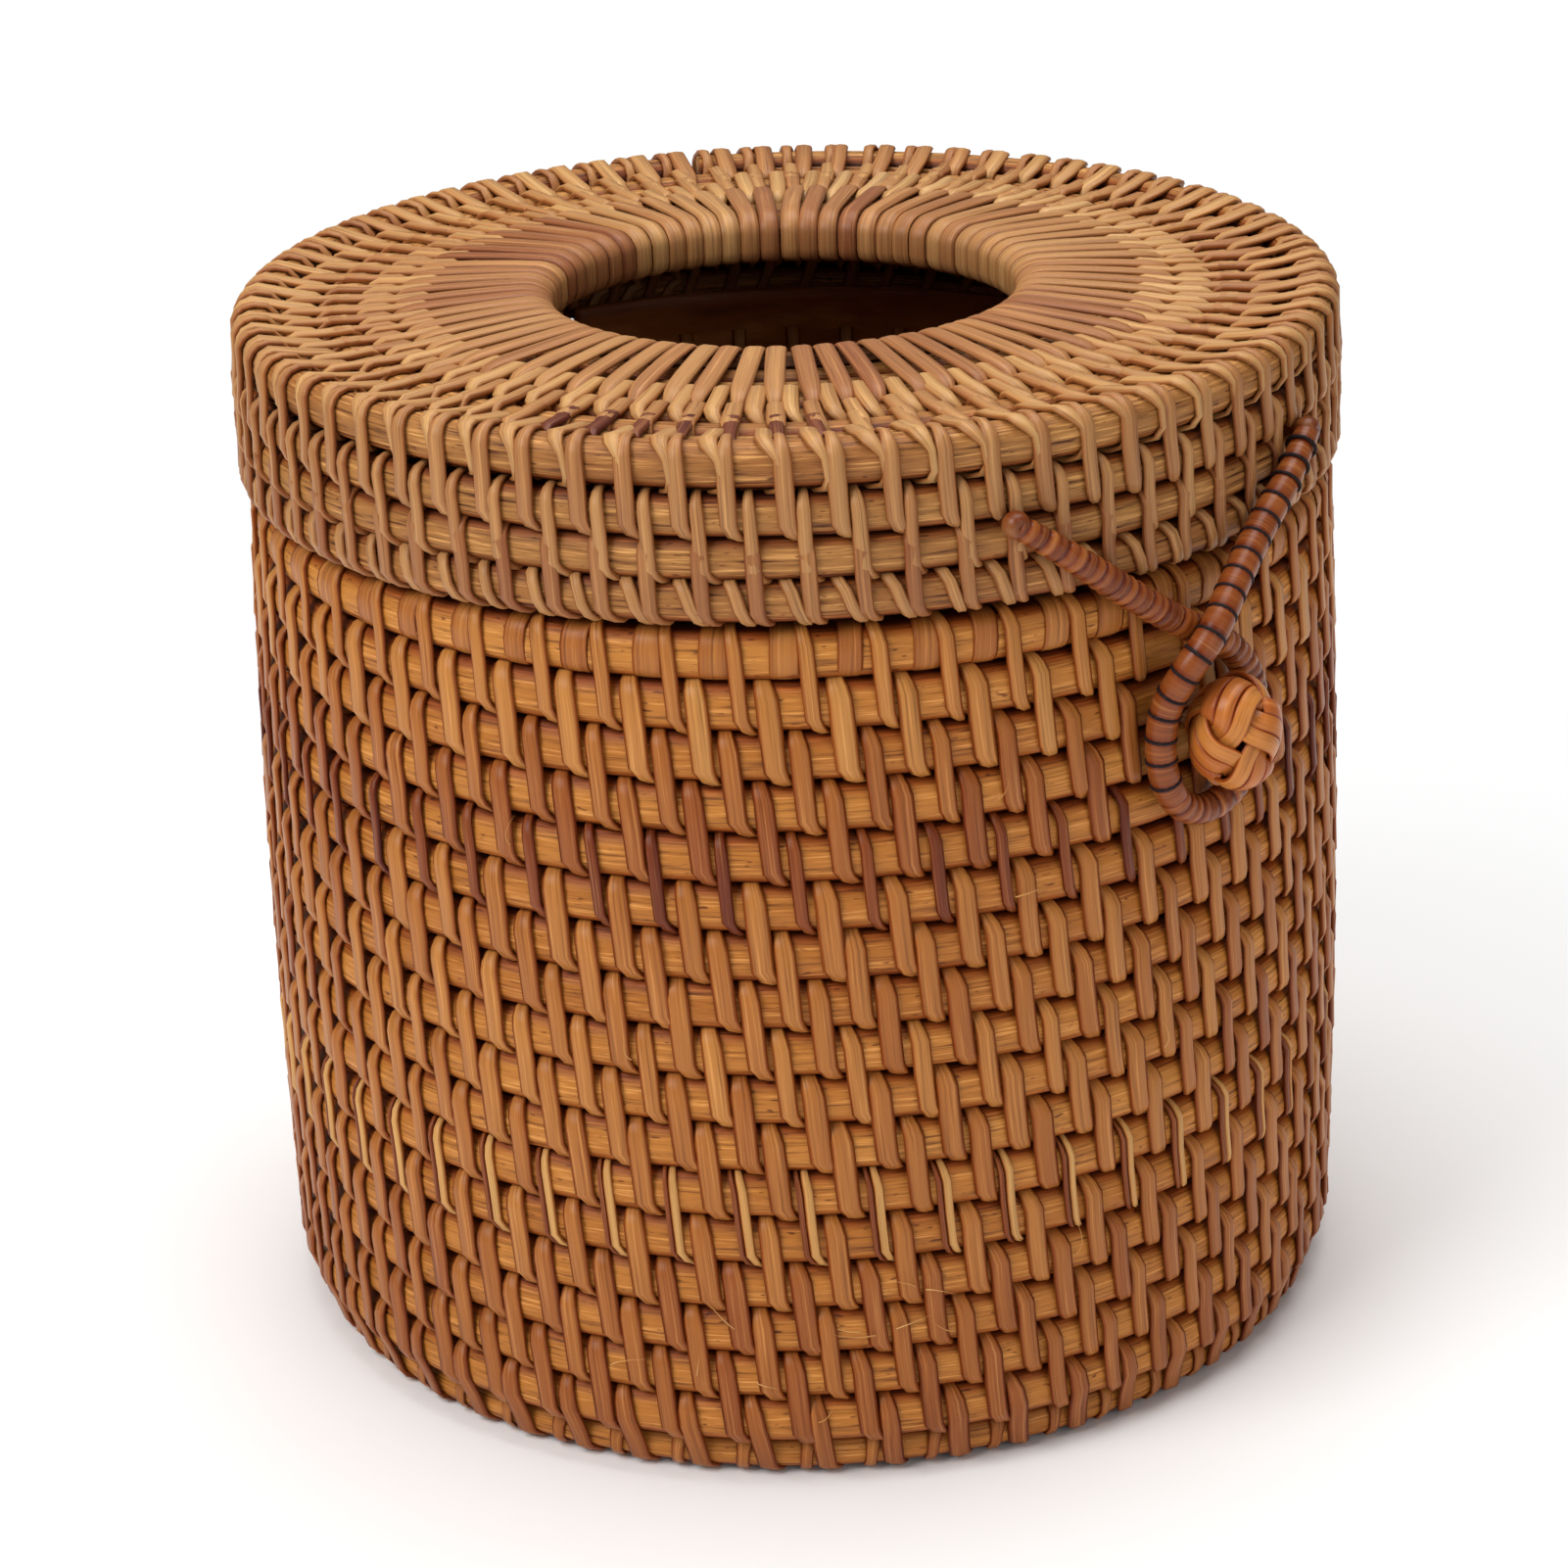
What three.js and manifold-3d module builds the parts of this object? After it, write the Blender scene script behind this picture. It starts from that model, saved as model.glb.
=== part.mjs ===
// Round tissue box cover of coiled rattan, with a hinged lid and a loop and knob clasp.
// Millimetres, +Z up. The origin is the centre of the base, on the surface that the box stands on.
// The clasp is at the front, towards -Y. The hinge rings are at the back, towards +Y.
// An azimuth is measured round the box from the front, and grows towards +X.
import * as THREE from 'three';
import { mergeVertices } from 'three/addons/utils/BufferGeometryUtils.js';
import Module from 'manifold-3d';

const wasm = await Module();
wasm.setup();

// Body: a cane coil of level courses, each a little bigger or smaller than the next.
const bodyCourses = 18;
const rimCourseHeight = 123.35;
const bellyRadius = 76.5;
const bellyHeight = 50;
const bellyToRimDrop = 1.75;
const bellyToRimHeight = 77;
const footDrawIn = 2.6;
const wallCaneWidth = 7.4;
const wallCaneHeight = 6.5;
const footFlat = 0.65;
const coursesInLowerCane = 6;
const coursesInMiddleCane = 6;

// Lip: a flat band inside the rim, which keeps the lid in place. It stops short of the hinge rings.
const lipThickness = 1.2;
const lipBevel = 0.4;
const lipStand = 5.2;
const lipReach = 5.0;
const lipEndGap = 1.0;
const lipSteps = 46;

// Base: a flat spiral of the same cane, inside the foot course.
const baseCaneWidth = 6.3;
const baseCaneHeight = 6.0;
const baseGap = 0.6;
const baseTaperTurns = 0.8;
const baseStepLength = 17;
const fewestBaseSteps = 10;
const startKnotRadius = 3.2;

// Lid: thin canes in the skirt and on top, with a thick one at the corner.
const skirtCourses = 3;
const lidGap = 2.0;
const skirtCaneWidth = 6.0;
const skirtCaneHeight = 5.2;
const skirtGap = 0.6;
const cornerCaneWidth = 6.4;
const cornerCaneHeight = 6.4;
const cornerGap = 0.7;
const cornerOverhang = 0.6;
const topCourses = 3;
const topCaneWidth = 4.9;
const topCaneHeight = 4.9;
const topGap = 0.6;
const topSink = 0.4;

// Collar: two hoops and the foundation courses, under a wrapping of flat radial strips.
const holeRadius = 33.3;
const wrapStrips = 72;
const wrapThickness = 0.9;
const wrapRidge = 0.45;
const wrapTuck = 0.2;
const hoopCaneWidth = 3.8;
const hoopCaneHeight = 2.4;
const hoopRoom = 0.45;
const hoopPitch = 3.0;
const hoopRise = 1.9;

// Hinge rings: bands round the rim course and the lid's lowest course.
const hingeOffset = 12;
const hingeBandWidth = 4;
const hingeBandThickness = 0.9;
const hingeEyeRadius = 4.9;
const hingeLidEyeRadius = 4.1;
const hingeSag = 1.0;

// Clasp: the knob on the wall, and the loop that hangs on the lid.
const knobAzimuth = 1.6;
const knobSeam = 3;
const knobGap = 1.0;
const knobWidth = 13.4;
const knobHeight = 16.2;
const knobDepth = 13.0;
const strapWidth = 4.0;
const strapThickness = 0.7;
const strapSwellHeight = 1.1;
const knobLeads = 3;
const knobBights = 4;
const bightAngle = 53;
const stemDiameter = 2.2;
const stemKnotDiameter = 7.0;
const stemKnotFaceDiameter = 5.3;
const stemKnotLength = 4.4;
const stemStub = 1.0;
const cordDiameter = 3.5;
const loopEndAzimuth = 19.8;
const headGap = 0.15;
const tailDiameter = 2.4;
const tailKnotDiameter = 5.4;
const tailKnotLength = 3.2;
const tailKnotFaceDiameter = 3.4;

// Fits and facets.
const clearance = 0.3;
const spliceGap = 0.4;
const caneSides = 6;
const stepsPerCourse = 24;
const climbSteps = 6;
const spliceStep = 17;
const firstStepAzimuth = 150;
const turnedSides = 12;

// Sizes that follow from the ones above.
const rad = THREE.MathUtils.degToRad;
const footCourseHeight = wallCaneHeight / 2 - footFlat;
const footRadius = bellyRadius - footDrawIn;
const skirtRadius = bellyRadius;
const coursePitch = (rimCourseHeight - footCourseHeight) / (bodyCourses - 1);
const basePitch = baseCaneWidth + baseGap;
const skirtPitch = skirtCaneHeight + skirtGap;
const topPitch = topCaneWidth + topGap;
const stepAngle = 360 / stepsPerCourse;
const levelSteps = stepsPerCourse - climbSteps;
const skirtBottomCourseHeight = rimCourseHeight + wallCaneHeight / 2 + lidGap + skirtCaneHeight / 2;
const skirtTop = skirtBottomCourseHeight + (skirtCourses - 1) * skirtPitch + skirtCaneHeight / 2;
const cornerCourseHeight = skirtTop + cornerGap + cornerCaneHeight / 2;
const cornerRadius = skirtRadius - cornerOverhang;
const topCaneCourseHeight = cornerCourseHeight - topSink;
const topOuterRadius = cornerRadius - cornerCaneWidth / 2 - topGap - topCaneWidth / 2;
const topInnerRadius = topOuterRadius - (topCourses - 1) * topPitch;
const hoopRadius = holeRadius + wrapThickness + hoopRoom + hoopCaneWidth / 2;
const wrapOuterRadius = topInnerRadius - topCaneWidth / 2 - clearance;
const foundationOuterRadius = wrapOuterRadius - topGap - topCaneWidth / 2;
const foundationRoom = foundationOuterRadius + topCaneWidth / 2 - hoopRadius - hoopCaneWidth / 2;
const foundationCourses = Math.floor(foundationRoom / topPitch);
const upperHoopHeight = topCaneCourseHeight + hoopRise;

// A point at an azimuth in degrees, a radius and a height.
function polar(azimuth, radius, height) {
  const angle = rad(azimuth);
  return new THREE.Vector3(radius * Math.sin(angle), -radius * Math.cos(angle), height);
}

// Six-sided section of a cane, flat above and below, as [outward, up] pairs round its middle.
// cut takes that much off its underside.
function caneSection(width, height, cut = 0) {
  const side = width / 2;
  const flat = side / 2;
  const top = height / 2;
  const bottom = cut - top;
  const footHalf = flat + (side - flat) * (cut / top);
  return [[side, 0], [flat, top], [-flat, top], [-side, 0], [-footHalf, bottom], [footHalf, bottom]];
}

// A closed solid through rings of points that all have the same count.
// An open run of rings gets flat ends. A closed run joins its last ring to its first.
function loft(rings, closed = false) {
  const sides = rings[0].length;
  const positions = rings.flat().flatMap((point) => [point.x, point.y, point.z]);
  const triangles = [];
  const joins = closed ? rings.length : rings.length - 1;
  for (let ring = 0; ring < joins; ring += 1) {
    const here = ring * sides;
    const next = ((ring + 1) % rings.length) * sides;
    for (let side = 0; side < sides; side += 1) {
      const turn = (side + 1) % sides;
      triangles.push(here + side, next + side, next + turn);
      triangles.push(here + side, next + turn, here + turn);
    }
  }
  if (!closed) {
    const last = (rings.length - 1) * sides;
    for (let side = 1; side < sides - 1; side += 1) {
      triangles.push(0, side, side + 1);
      triangles.push(last, last + side + 1, last + side);
    }
  }
  const geometry = new THREE.BufferGeometry();
  geometry.setAttribute('position', new THREE.Float32BufferAttribute(positions, 3));
  geometry.setIndex(triangles);
  return facingOut(geometry);
}

// The volume that a closed mesh holds, negative when its faces point inwards.
function signedVolume(geometry) {
  const at = geometry.attributes.position;
  const index = geometry.index;
  const corner = [new THREE.Vector3(), new THREE.Vector3(), new THREE.Vector3()];
  let volume = 0;
  for (let first = 0; first < index.count; first += 3) {
    corner.forEach((point, i) => point.fromBufferAttribute(at, index.getX(first + i)));
    volume += corner[0].dot(corner[1].clone().cross(corner[2])) / 6;
  }
  return volume;
}

function facingOut(geometry) {
  if (signedVolume(geometry) < 0) {
    const order = Array.from(geometry.index.array);
    for (let first = 0; first < order.length; first += 3) {
      [order[first + 1], order[first + 2]] = [order[first + 2], order[first + 1]];
    }
    geometry.setIndex(order);
  }
  return geometry;
}

// A geometry with only its positions, each shared by the faces that meet there.
function welded(geometry) {
  const bare = geometry.clone();
  bare.deleteAttribute('normal');
  bare.deleteAttribute('uv');
  return mergeVertices(bare, 1e-4);
}

function toSolid(geometry) {
  const mesh = welded(geometry);
  return new wasm.Manifold(new wasm.Mesh({
    numProp: 3,
    vertProperties: new Float32Array(mesh.attributes.position.array),
    triVerts: new Uint32Array(mesh.index.array),
  }));
}

// The first geometry with every one of the cutters taken out of it.
function cut(geometry, cutters) {
  let solid = toSolid(geometry);
  for (const cutter of cutters) {
    solid = solid.subtract(toSolid(cutter));
  }
  const mesh = solid.getMesh();
  const result = new THREE.BufferGeometry();
  result.setAttribute('position', new THREE.Float32BufferAttribute(mesh.vertProperties, 3));
  result.setIndex(Array.from(mesh.triVerts));
  return result;
}

// How far a coil has climbed after a number of steps, in courses.
// A course runs level, and climbs to the next one over its last steps, at the box's right rear.
function climb(step) {
  const course = Math.floor(step / stepsPerCourse);
  const within = step - course * stepsPerCourse;
  const share = Math.max(0, within - levelSteps) / climbSteps;
  return course + share * share * (3 - 2 * share);
}

// What is left of a cane where it tapers to fill the wedge beside a climb, as the climb takes its room.
function taperedBy(share, full, pitch) {
  return full - pitch * share;
}

// A cane laid in a coil from one step to another.
// place gives [radius, height, section] for a step, so the same run makes a wall or a flat spiral.
function coil(firstStep, lastStep, place) {
  const rings = [];
  for (let step = firstStep; step <= lastStep; step += 1) {
    const [radius, height, section] = place(step);
    const pull = THREE.MathUtils.radToDeg(spliceGap / 2 / radius);
    let azimuth = firstStepAzimuth + step * stepAngle;
    if (step === firstStep) {
      azimuth += pull;
    }
    if (step === lastStep) {
      azimuth -= pull;
    }
    rings.push(section.map(([out, up]) => polar(azimuth, radius + out, height + up)));
  }
  return loft(rings);
}

// The least distance between points of one run of cane or strip that lie some rings apart along it.
function leastGap(geometry, ringsApart = stepsPerCourse - 4, closed = false) {
  const at = geometry.attributes.position;
  const apart = caneSides * ringsApart;
  const a = new THREE.Vector3();
  const b = new THREE.Vector3();
  let least = Infinity;
  for (let i = 0; i < at.count; i += 1) {
    a.fromBufferAttribute(at, i);
    const end = closed ? Math.min(at.count, i + at.count - apart) : at.count;
    for (let j = i + apart; j < end; j += 1) {
      least = Math.min(least, a.distanceTo(b.fromBufferAttribute(at, j)));
    }
  }
  return least;
}

function report(name, gap) {
  console.log(`${name}: least gap to itself ${gap.toFixed(2)} mm`);
}

// Radius of the wall's cane at a height: widest at the belly, drawn in a little to the rim.
function wallRadius(height) {
  const share = (height - bellyHeight) / bellyToRimHeight;
  return bellyRadius - bellyToRimDrop * share * share;
}

// Body coil. Course 0 is the foot ring, drawn in under the first full course.
const firstFullCourse = footCourseHeight + coursePitch;
const rimLevel = bodyCourses - 1;
const wallEndStep = rimLevel * stepsPerCourse + levelSteps;

function wallPlace(step) {
  const level = climb(step);
  const height = footCourseHeight + coursePitch * level;
  const inFoot = Math.min(level, 1);
  const radius = level < 1
    ? footRadius + (wallRadius(firstFullCourse) - footRadius) * inFoot
    : wallRadius(height);
  const flat = footFlat * Math.max(0, 1 - level);
  return [radius, height, caneSection(wallCaneWidth, wallCaneHeight, flat)];
}

// The foot course starts as a wedge under the climb, and the rim course ends as one on top of it.
function wallStartPlace(step) {
  if (step >= 0) {
    return wallPlace(step);
  }
  const room = 1 - climb(step + stepsPerCourse);
  const height = taperedBy(room, wallCaneHeight - footFlat, coursePitch);
  return [footRadius, height / 2, caneSection(wallCaneWidth, height)];
}

function wallRimPlace(step) {
  if (step <= wallEndStep) {
    return wallPlace(step);
  }
  const height = taperedBy(climb(step) - rimLevel, wallCaneHeight, coursePitch);
  const top = rimCourseHeight + wallCaneHeight / 2;
  return [wallRadius(rimCourseHeight), top - height / 2, caneSection(wallCaneWidth, height)];
}

const taperSteps = climbSteps - 2;
const lowerEndStep = (coursesInLowerCane - 1) * stepsPerCourse + spliceStep;
const middleEndStep = lowerEndStep + coursesInMiddleCane * stepsPerCourse;
const lowerWall = coil(-taperSteps, lowerEndStep, wallStartPlace);
const middleWall = coil(lowerEndStep, middleEndStep, wallPlace);
const upperWall = coil(middleEndStep, wallEndStep + taperSteps, wallRimPlace);

// Lip: it starts below the middle of the rim course, and stands above its top.
// The rim course's inside is a run of flats, and the lip lies inside the middle of each.
const rimInside = (wallRadius(rimCourseHeight) - wallCaneWidth / 2) * Math.cos(rad(stepAngle / 2));
const lipOuterRadius = rimInside - clearance;
const lipInnerRadius = lipOuterRadius - lipThickness;
const lipBottom = rimCourseHeight - lipReach;
const lipTop = rimCourseHeight + wallCaneHeight / 2 + lipStand;

function rimLip() {
  const hingeEdge = hingeOffset + hingeBandWidth / 2 + lipEndGap;
  const lastAzimuth = 180 - THREE.MathUtils.radToDeg(Math.asin(hingeEdge / lipInnerRadius));
  const rings = [];
  for (let step = 0; step <= lipSteps; step += 1) {
    const azimuth = lastAzimuth * (2 * step / lipSteps - 1);
    rings.push([
      polar(azimuth, lipOuterRadius, lipBottom),
      polar(azimuth, lipOuterRadius, lipTop - lipBevel),
      polar(azimuth, lipOuterRadius - lipBevel, lipTop),
      polar(azimuth, lipInnerRadius + lipBevel, lipTop),
      polar(azimuth, lipInnerRadius, lipTop - lipBevel),
      polar(azimuth, lipInnerRadius, lipBottom),
    ]);
  }
  return loft(rings);
}

// Base spiral: even turns that end in a long taper against the foot ring.
const baseOuterRadius = footRadius - wallCaneWidth / 2 - baseGap - baseCaneWidth / 2;
const baseInnerRadius = startKnotRadius + clearance + baseCaneWidth / 2;
const baseTurns = (baseOuterRadius - baseInnerRadius) / basePitch;

function baseSpiral() {
  const rings = [];
  const outerEdge = baseOuterRadius + baseCaneWidth / 2;
  let turn = 0;
  while (turn <= baseTurns + baseTaperTurns) {
    const middle = baseInnerRadius + basePitch * turn;
    const innerEdge = middle - baseCaneWidth / 2;
    const width = Math.min(baseCaneWidth, outerEdge - innerEdge);
    const section = caneSection(width, baseCaneHeight, footFlat);
    const height = baseCaneHeight / 2 - footFlat;
    const radius = innerEdge + width / 2;
    rings.push(section.map(([out, up]) => polar(firstStepAzimuth + turn * 360, radius + out, height + up)));
    const steps = Math.round(2 * Math.PI * radius / baseStepLength);
    turn += 1 / THREE.MathUtils.clamp(steps, fewestBaseSteps, stepsPerCourse);
  }
  return loft(rings);
}

// Lid coils: the skirt climbs, the top course spirals outwards on the flat.
const skirtEndStep = (skirtCourses - 1) * stepsPerCourse + levelSteps;
const topEndStep = (topCourses - 1) * stepsPerCourse + levelSteps;

function skirtPlace(step) {
  const topLevel = skirtCourses - 1;
  let tall = skirtCaneHeight;
  let height = skirtBottomCourseHeight + skirtPitch * Math.min(climb(step), topLevel);
  if (step < 0) {
    tall = taperedBy(1 - climb(step + stepsPerCourse), skirtCaneHeight, skirtPitch);
    height = skirtBottomCourseHeight - (skirtCaneHeight - tall) / 2;
  }
  if (step > skirtEndStep) {
    tall = taperedBy(climb(step) - topLevel, skirtCaneHeight, skirtPitch);
    height = skirtBottomCourseHeight + skirtPitch * topLevel + (skirtCaneHeight - tall) / 2;
  }
  return [skirtRadius, height, caneSection(skirtCaneWidth, tall)];
}

// A flat coil of whole courses whose two ends taper against the circles inside and outside it.
function flatPlace(innerRadius, courses, height) {
  const endStep = (courses - 1) * stepsPerCourse + levelSteps;
  const outerEdge = innerRadius + topPitch * (courses - 1) + topCaneWidth / 2;
  const innerEdge = innerRadius - topCaneWidth / 2;
  return (step) => {
    let wide = topCaneWidth;
    let radius = innerRadius + topPitch * climb(step);
    if (step < 0) {
      wide = taperedBy(1 - climb(step + stepsPerCourse), topCaneWidth, topPitch);
      radius = innerEdge + wide / 2;
    }
    if (step > endStep) {
      wide = taperedBy(climb(step) - (courses - 1), topCaneWidth, topPitch);
      radius = outerEdge - wide / 2;
    }
    return [radius, height, caneSection(wide, topCaneHeight)];
  };
}

function ring(radius, height, section, steps = stepsPerCourse) {
  const rings = [];
  for (let step = 0; step < steps; step += 1) {
    const azimuth = firstStepAzimuth + step * 360 / steps;
    rings.push(section.map(([out, up]) => polar(azimuth, radius + out, height + up)));
  }
  return loft(rings, true);
}

// Collar wrapping: a sleeve of radial strips over the foundation canes and round both hoops.
// The sleeve is open at its outer edge, where the strips are tucked under the top cane.
const lowerHoopHeight = upperHoopHeight - hoopPitch;
const sleeveReach = hoopCaneWidth / 2 + hoopRoom;
const sleeveRise = hoopCaneHeight / 2 + hoopRoom;
const foundationTop = topCaneCourseHeight + topCaneHeight / 2 + clearance;
const foundationBottom = topCaneCourseHeight - topCaneHeight / 2 - clearance;
const roundTurn = [0, 45, 90];

// Points of the sleeve's inside, from the tuck on top, round the hole, to the tuck below.
function sleeveInside() {
  const tuck = wrapOuterRadius - wrapTuck;
  const points = [[tuck, foundationTop, 0, 1]];
  for (const degrees of roundTurn) {
    const [sine, cosine] = [Math.sin(rad(degrees)), Math.cos(rad(degrees))];
    points.push([hoopRadius - sleeveReach * sine, upperHoopHeight + sleeveRise * cosine, -sine, cosine]);
  }
  for (const degrees of roundTurn) {
    const [sine, cosine] = [Math.sin(rad(degrees)), Math.cos(rad(degrees))];
    points.push([hoopRadius - sleeveReach * cosine, lowerHoopHeight - sleeveRise * sine, -cosine, -sine]);
  }
  points.push([tuck, foundationBottom, 0, -1]);
  return points;
}

function collarWrap() {
  const inside = sleeveInside();
  const rings = [];
  for (let half = 0; half < wrapStrips * 2; half += 1) {
    const azimuth = half * 180 / wrapStrips;
    const proud = wrapThickness + (half % 2 === 0 ? 0 : -wrapRidge);
    const outer = inside.map(([r, z, outR, outZ]) => polar(azimuth, r + outR * proud, z + outZ * proud));
    const inner = inside.map(([r, z]) => polar(azimuth, r, z)).reverse();
    rings.push([...outer, ...inner]);
  }
  return loft(rings, true);
}

// A convex outline in the Y-Z plane round two circles, as points of a Shape.
function strapOutline(shape, low, lowRadius, high, highRadius) {
  const lean = Math.atan2(high[0] - low[0], high[1] - low[1]);
  const spread = Math.asin((lowRadius - highRadius) / Math.hypot(high[0] - low[0], high[1] - low[1]));
  const axis = Math.PI / 2 - lean;
  shape.absarc(low[0], low[1], lowRadius, axis + Math.PI / 2 - spread, axis - Math.PI / 2 + spread, false);
  shape.absarc(high[0], high[1], highRadius, axis - Math.PI / 2 + spread, axis + Math.PI / 2 - spread, false);
  shape.closePath();
  return shape;
}

// Hinge ring: a band whose lower eye turns round the rim course, and whose upper eye holds the lid.
const hingeAxisY = wallRadius(rimCourseHeight) - hingeSag;
const hingeLidY = skirtRadius - hingeSag;
const hingeAxis = [hingeAxisY, rimCourseHeight];
const hingeHold = [hingeLidY, skirtBottomCourseHeight];
const arcSegments = 7;

function hingeRing(x) {
  const outline = strapOutline(new THREE.Shape(), hingeAxis, hingeEyeRadius + hingeBandThickness,
    hingeHold, hingeLidEyeRadius + hingeBandThickness);
  const eye = strapOutline(new THREE.Path(), hingeAxis, hingeEyeRadius, hingeHold, hingeLidEyeRadius);
  outline.holes.push(eye);
  const band = new THREE.ExtrudeGeometry(outline, {
    depth: hingeBandWidth, bevelEnabled: false, curveSegments: arcSegments,
  });
  band.rotateX(Math.PI / 2);
  band.rotateZ(Math.PI / 2);
  band.translate(x - hingeBandWidth / 2, 0, 0);
  return band;
}

function block(width, depth, height, x, y, z) {
  const box = new THREE.BoxGeometry(width, depth, height);
  box.translate(x, y, z);
  return box;
}

// Seats that the hinge bands are pressed into, in the course below the rim and in the skirt.
const seatWidth = hingeBandWidth + 2 * clearance;
const bandFloor = hingeEyeRadius + hingeBandThickness + 2 * clearance;
const bandCeiling = hingeLidEyeRadius + hingeBandThickness + clearance;
const hingePlaces = [-hingeOffset, hingeOffset];
const rimBottom = rimCourseHeight - coursePitch / 2;
const skirtSecondBottom = skirtBottomCourseHeight + skirtPitch / 2;

function seatBlock(x, y, bottom, top) {
  return block(seatWidth, 2 * bandFloor, top - bottom, x, y, (top + bottom) / 2);
}

const wallSeats = hingePlaces.map((x) => seatBlock(x, hingeAxisY, rimCourseHeight - bandFloor, rimBottom));
const skirtSeats = hingePlaces.map((x) => seatBlock(x, hingeLidY, skirtSecondBottom,
  skirtBottomCourseHeight + bandCeiling));

// A turned solid on a line out of the box's axis. Its profile is [radius, distance from the axis].
function turnedOutwards(profile, azimuth, height) {
  const points = profile.map(([across, along]) => new THREE.Vector2(across, along));
  const solid = new THREE.LatheGeometry(points, turnedSides);
  solid.rotateZ(Math.PI + rad(azimuth));
  solid.translate(0, 0, height);
  return solid;
}

// Knob: the stem leaves the wall through a seam, level with the middle of the ball.
const knobHeightInWall = rimCourseHeight - coursePitch * (knobSeam - 0.5);
const wallOutside = wallRadius(knobHeightInWall) + wallCaneWidth / 2;
const claspRadius = Math.max(skirtRadius + skirtCaneWidth / 2, wallOutside);
const knobStandOff = claspRadius + knobGap + knobDepth / 2;
const knobMiddle = polar(knobAzimuth, knobStandOff, knobHeightInWall);
const knobOutward = polar(knobAzimuth, 1, 0);
const knobAlong = polar(knobAzimuth + 90, 1, 0);
const knobUp = new THREE.Vector3(0, 0, 1);
const weaveReach = strapSwellHeight + strapThickness / 2;
const weaveDepth = knobDepth / 2 - weaveReach;
const weaveHalfWidth = knobWidth / 2 - weaveReach;
const weaveHalfHeight = knobHeight / 2 - weaveReach;
const weaveSteps = 96;
const strapCrown = strapWidth * strapWidth / 4 / knobWidth;

// A point of the woven strip's middle line, and the way out of the ball there.
// One strip goes three times round the ball's axis and swings four times between its two ends.
// It passes over and under itself in turn.
function weavePoint(turn) {
  const polarAngle = Math.PI / 2 - rad(bightAngle) * Math.cos(knobBights * turn);
  const round = knobLeads * turn;
  const out = knobOutward.clone().multiplyScalar(Math.cos(polarAngle));
  const along = knobAlong.clone().multiplyScalar(Math.sin(polarAngle) * Math.cos(round));
  const up = knobUp.clone().multiplyScalar(Math.sin(polarAngle) * Math.sin(round));
  const onBall = out.clone().multiplyScalar(weaveDepth)
    .add(along.clone().multiplyScalar(weaveHalfWidth))
    .add(up.clone().multiplyScalar(weaveHalfHeight));
  const normal = out.multiplyScalar(1 / weaveDepth)
    .add(along.multiplyScalar(1 / weaveHalfWidth))
    .add(up.multiplyScalar(1 / weaveHalfHeight))
    .normalize();
  const passes = knobBights * (knobLeads - 1);
  const lift = -strapSwellHeight * Math.sin(passes * turn - Math.PI);
  return { middle: onBall.add(normal.clone().multiplyScalar(lift)).add(knobMiddle), normal };
}

function weave() {
  const rings = [];
  const half = strapWidth / 2;
  for (let step = 0; step < weaveSteps; step += 1) {
    const turn = step / weaveSteps * 2 * Math.PI;
    const small = Math.PI / weaveSteps / 4;
    const { middle, normal } = weavePoint(turn);
    const ahead = weavePoint(turn + small).middle.sub(weavePoint(turn - small).middle).normalize();
    const side = normal.clone().cross(ahead).normalize();
    const at = (across, lift) => middle.clone()
      .add(side.clone().multiplyScalar(across))
      .add(normal.clone().multiplyScalar(lift));
    const skin = strapThickness / 2;
    rings.push([at(-half, skin - strapCrown), at(0, skin), at(half, skin - strapCrown),
      at(half, -skin - strapCrown), at(0, -skin), at(-half, -skin - strapCrown)].reverse());
  }
  return loft(rings, true);
}

// The core fills the ball up to the strip's inside, where the strip passes under itself.
const coreInset = weaveReach + strapCrown + clearance;
const coreHalves = [weaveHalfWidth, weaveDepth, weaveHalfHeight].map((half) => half - coreInset);

function knobCore() {
  const core = new THREE.SphereGeometry(1, turnedSides, turnedSides / 2);
  core.scale(...coreHalves);
  core.rotateZ(rad(knobAzimuth));
  core.translate(knobMiddle.x, knobMiddle.y, knobMiddle.z);
  return core;
}

// The stem runs from its knot inside the wall to the core, through the eye at the back of the weave.
const wallInside = wallRadius(knobHeightInWall) - wallCaneWidth / 2;
const stemStart = wallInside - clearance - stemKnotLength - stemStub;
const stemEnd = knobStandOff - coreHalves[1] - clearance;
const stemRadius = stemDiameter / 2;
const stemProfile = [[0, stemStart], [stemRadius, stemStart], [stemRadius, stemEnd], [0, stemEnd]];
const stemHoleRadius = stemRadius + clearance;
const stemKnotOuter = wallInside - clearance;
const stemKnotProfile = [
  [stemHoleRadius, stemKnotOuter - stemKnotLength],
  [stemKnotFaceDiameter / 2, stemKnotOuter - stemKnotLength],
  [stemKnotDiameter / 2, stemKnotOuter - stemKnotLength / 2],
  [stemKnotFaceDiameter / 2, stemKnotOuter],
  [stemHoleRadius, stemKnotOuter],
  [stemHoleRadius, stemKnotOuter - stemKnotLength],
];

// A straight cutter out of the box's axis, from one distance to another.
function drill(azimuth, height, radius, from, to) {
  const bore = new THREE.CylinderGeometry(radius, radius, to - from, turnedSides);
  bore.translate(0, (from + to) / 2, 0);
  bore.rotateZ(Math.PI + rad(azimuth));
  bore.translate(0, 0, height);
  return bore;
}

const stemHole = drill(knobAzimuth, knobHeightInWall, stemHoleRadius, stemStart, knobStandOff);

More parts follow.
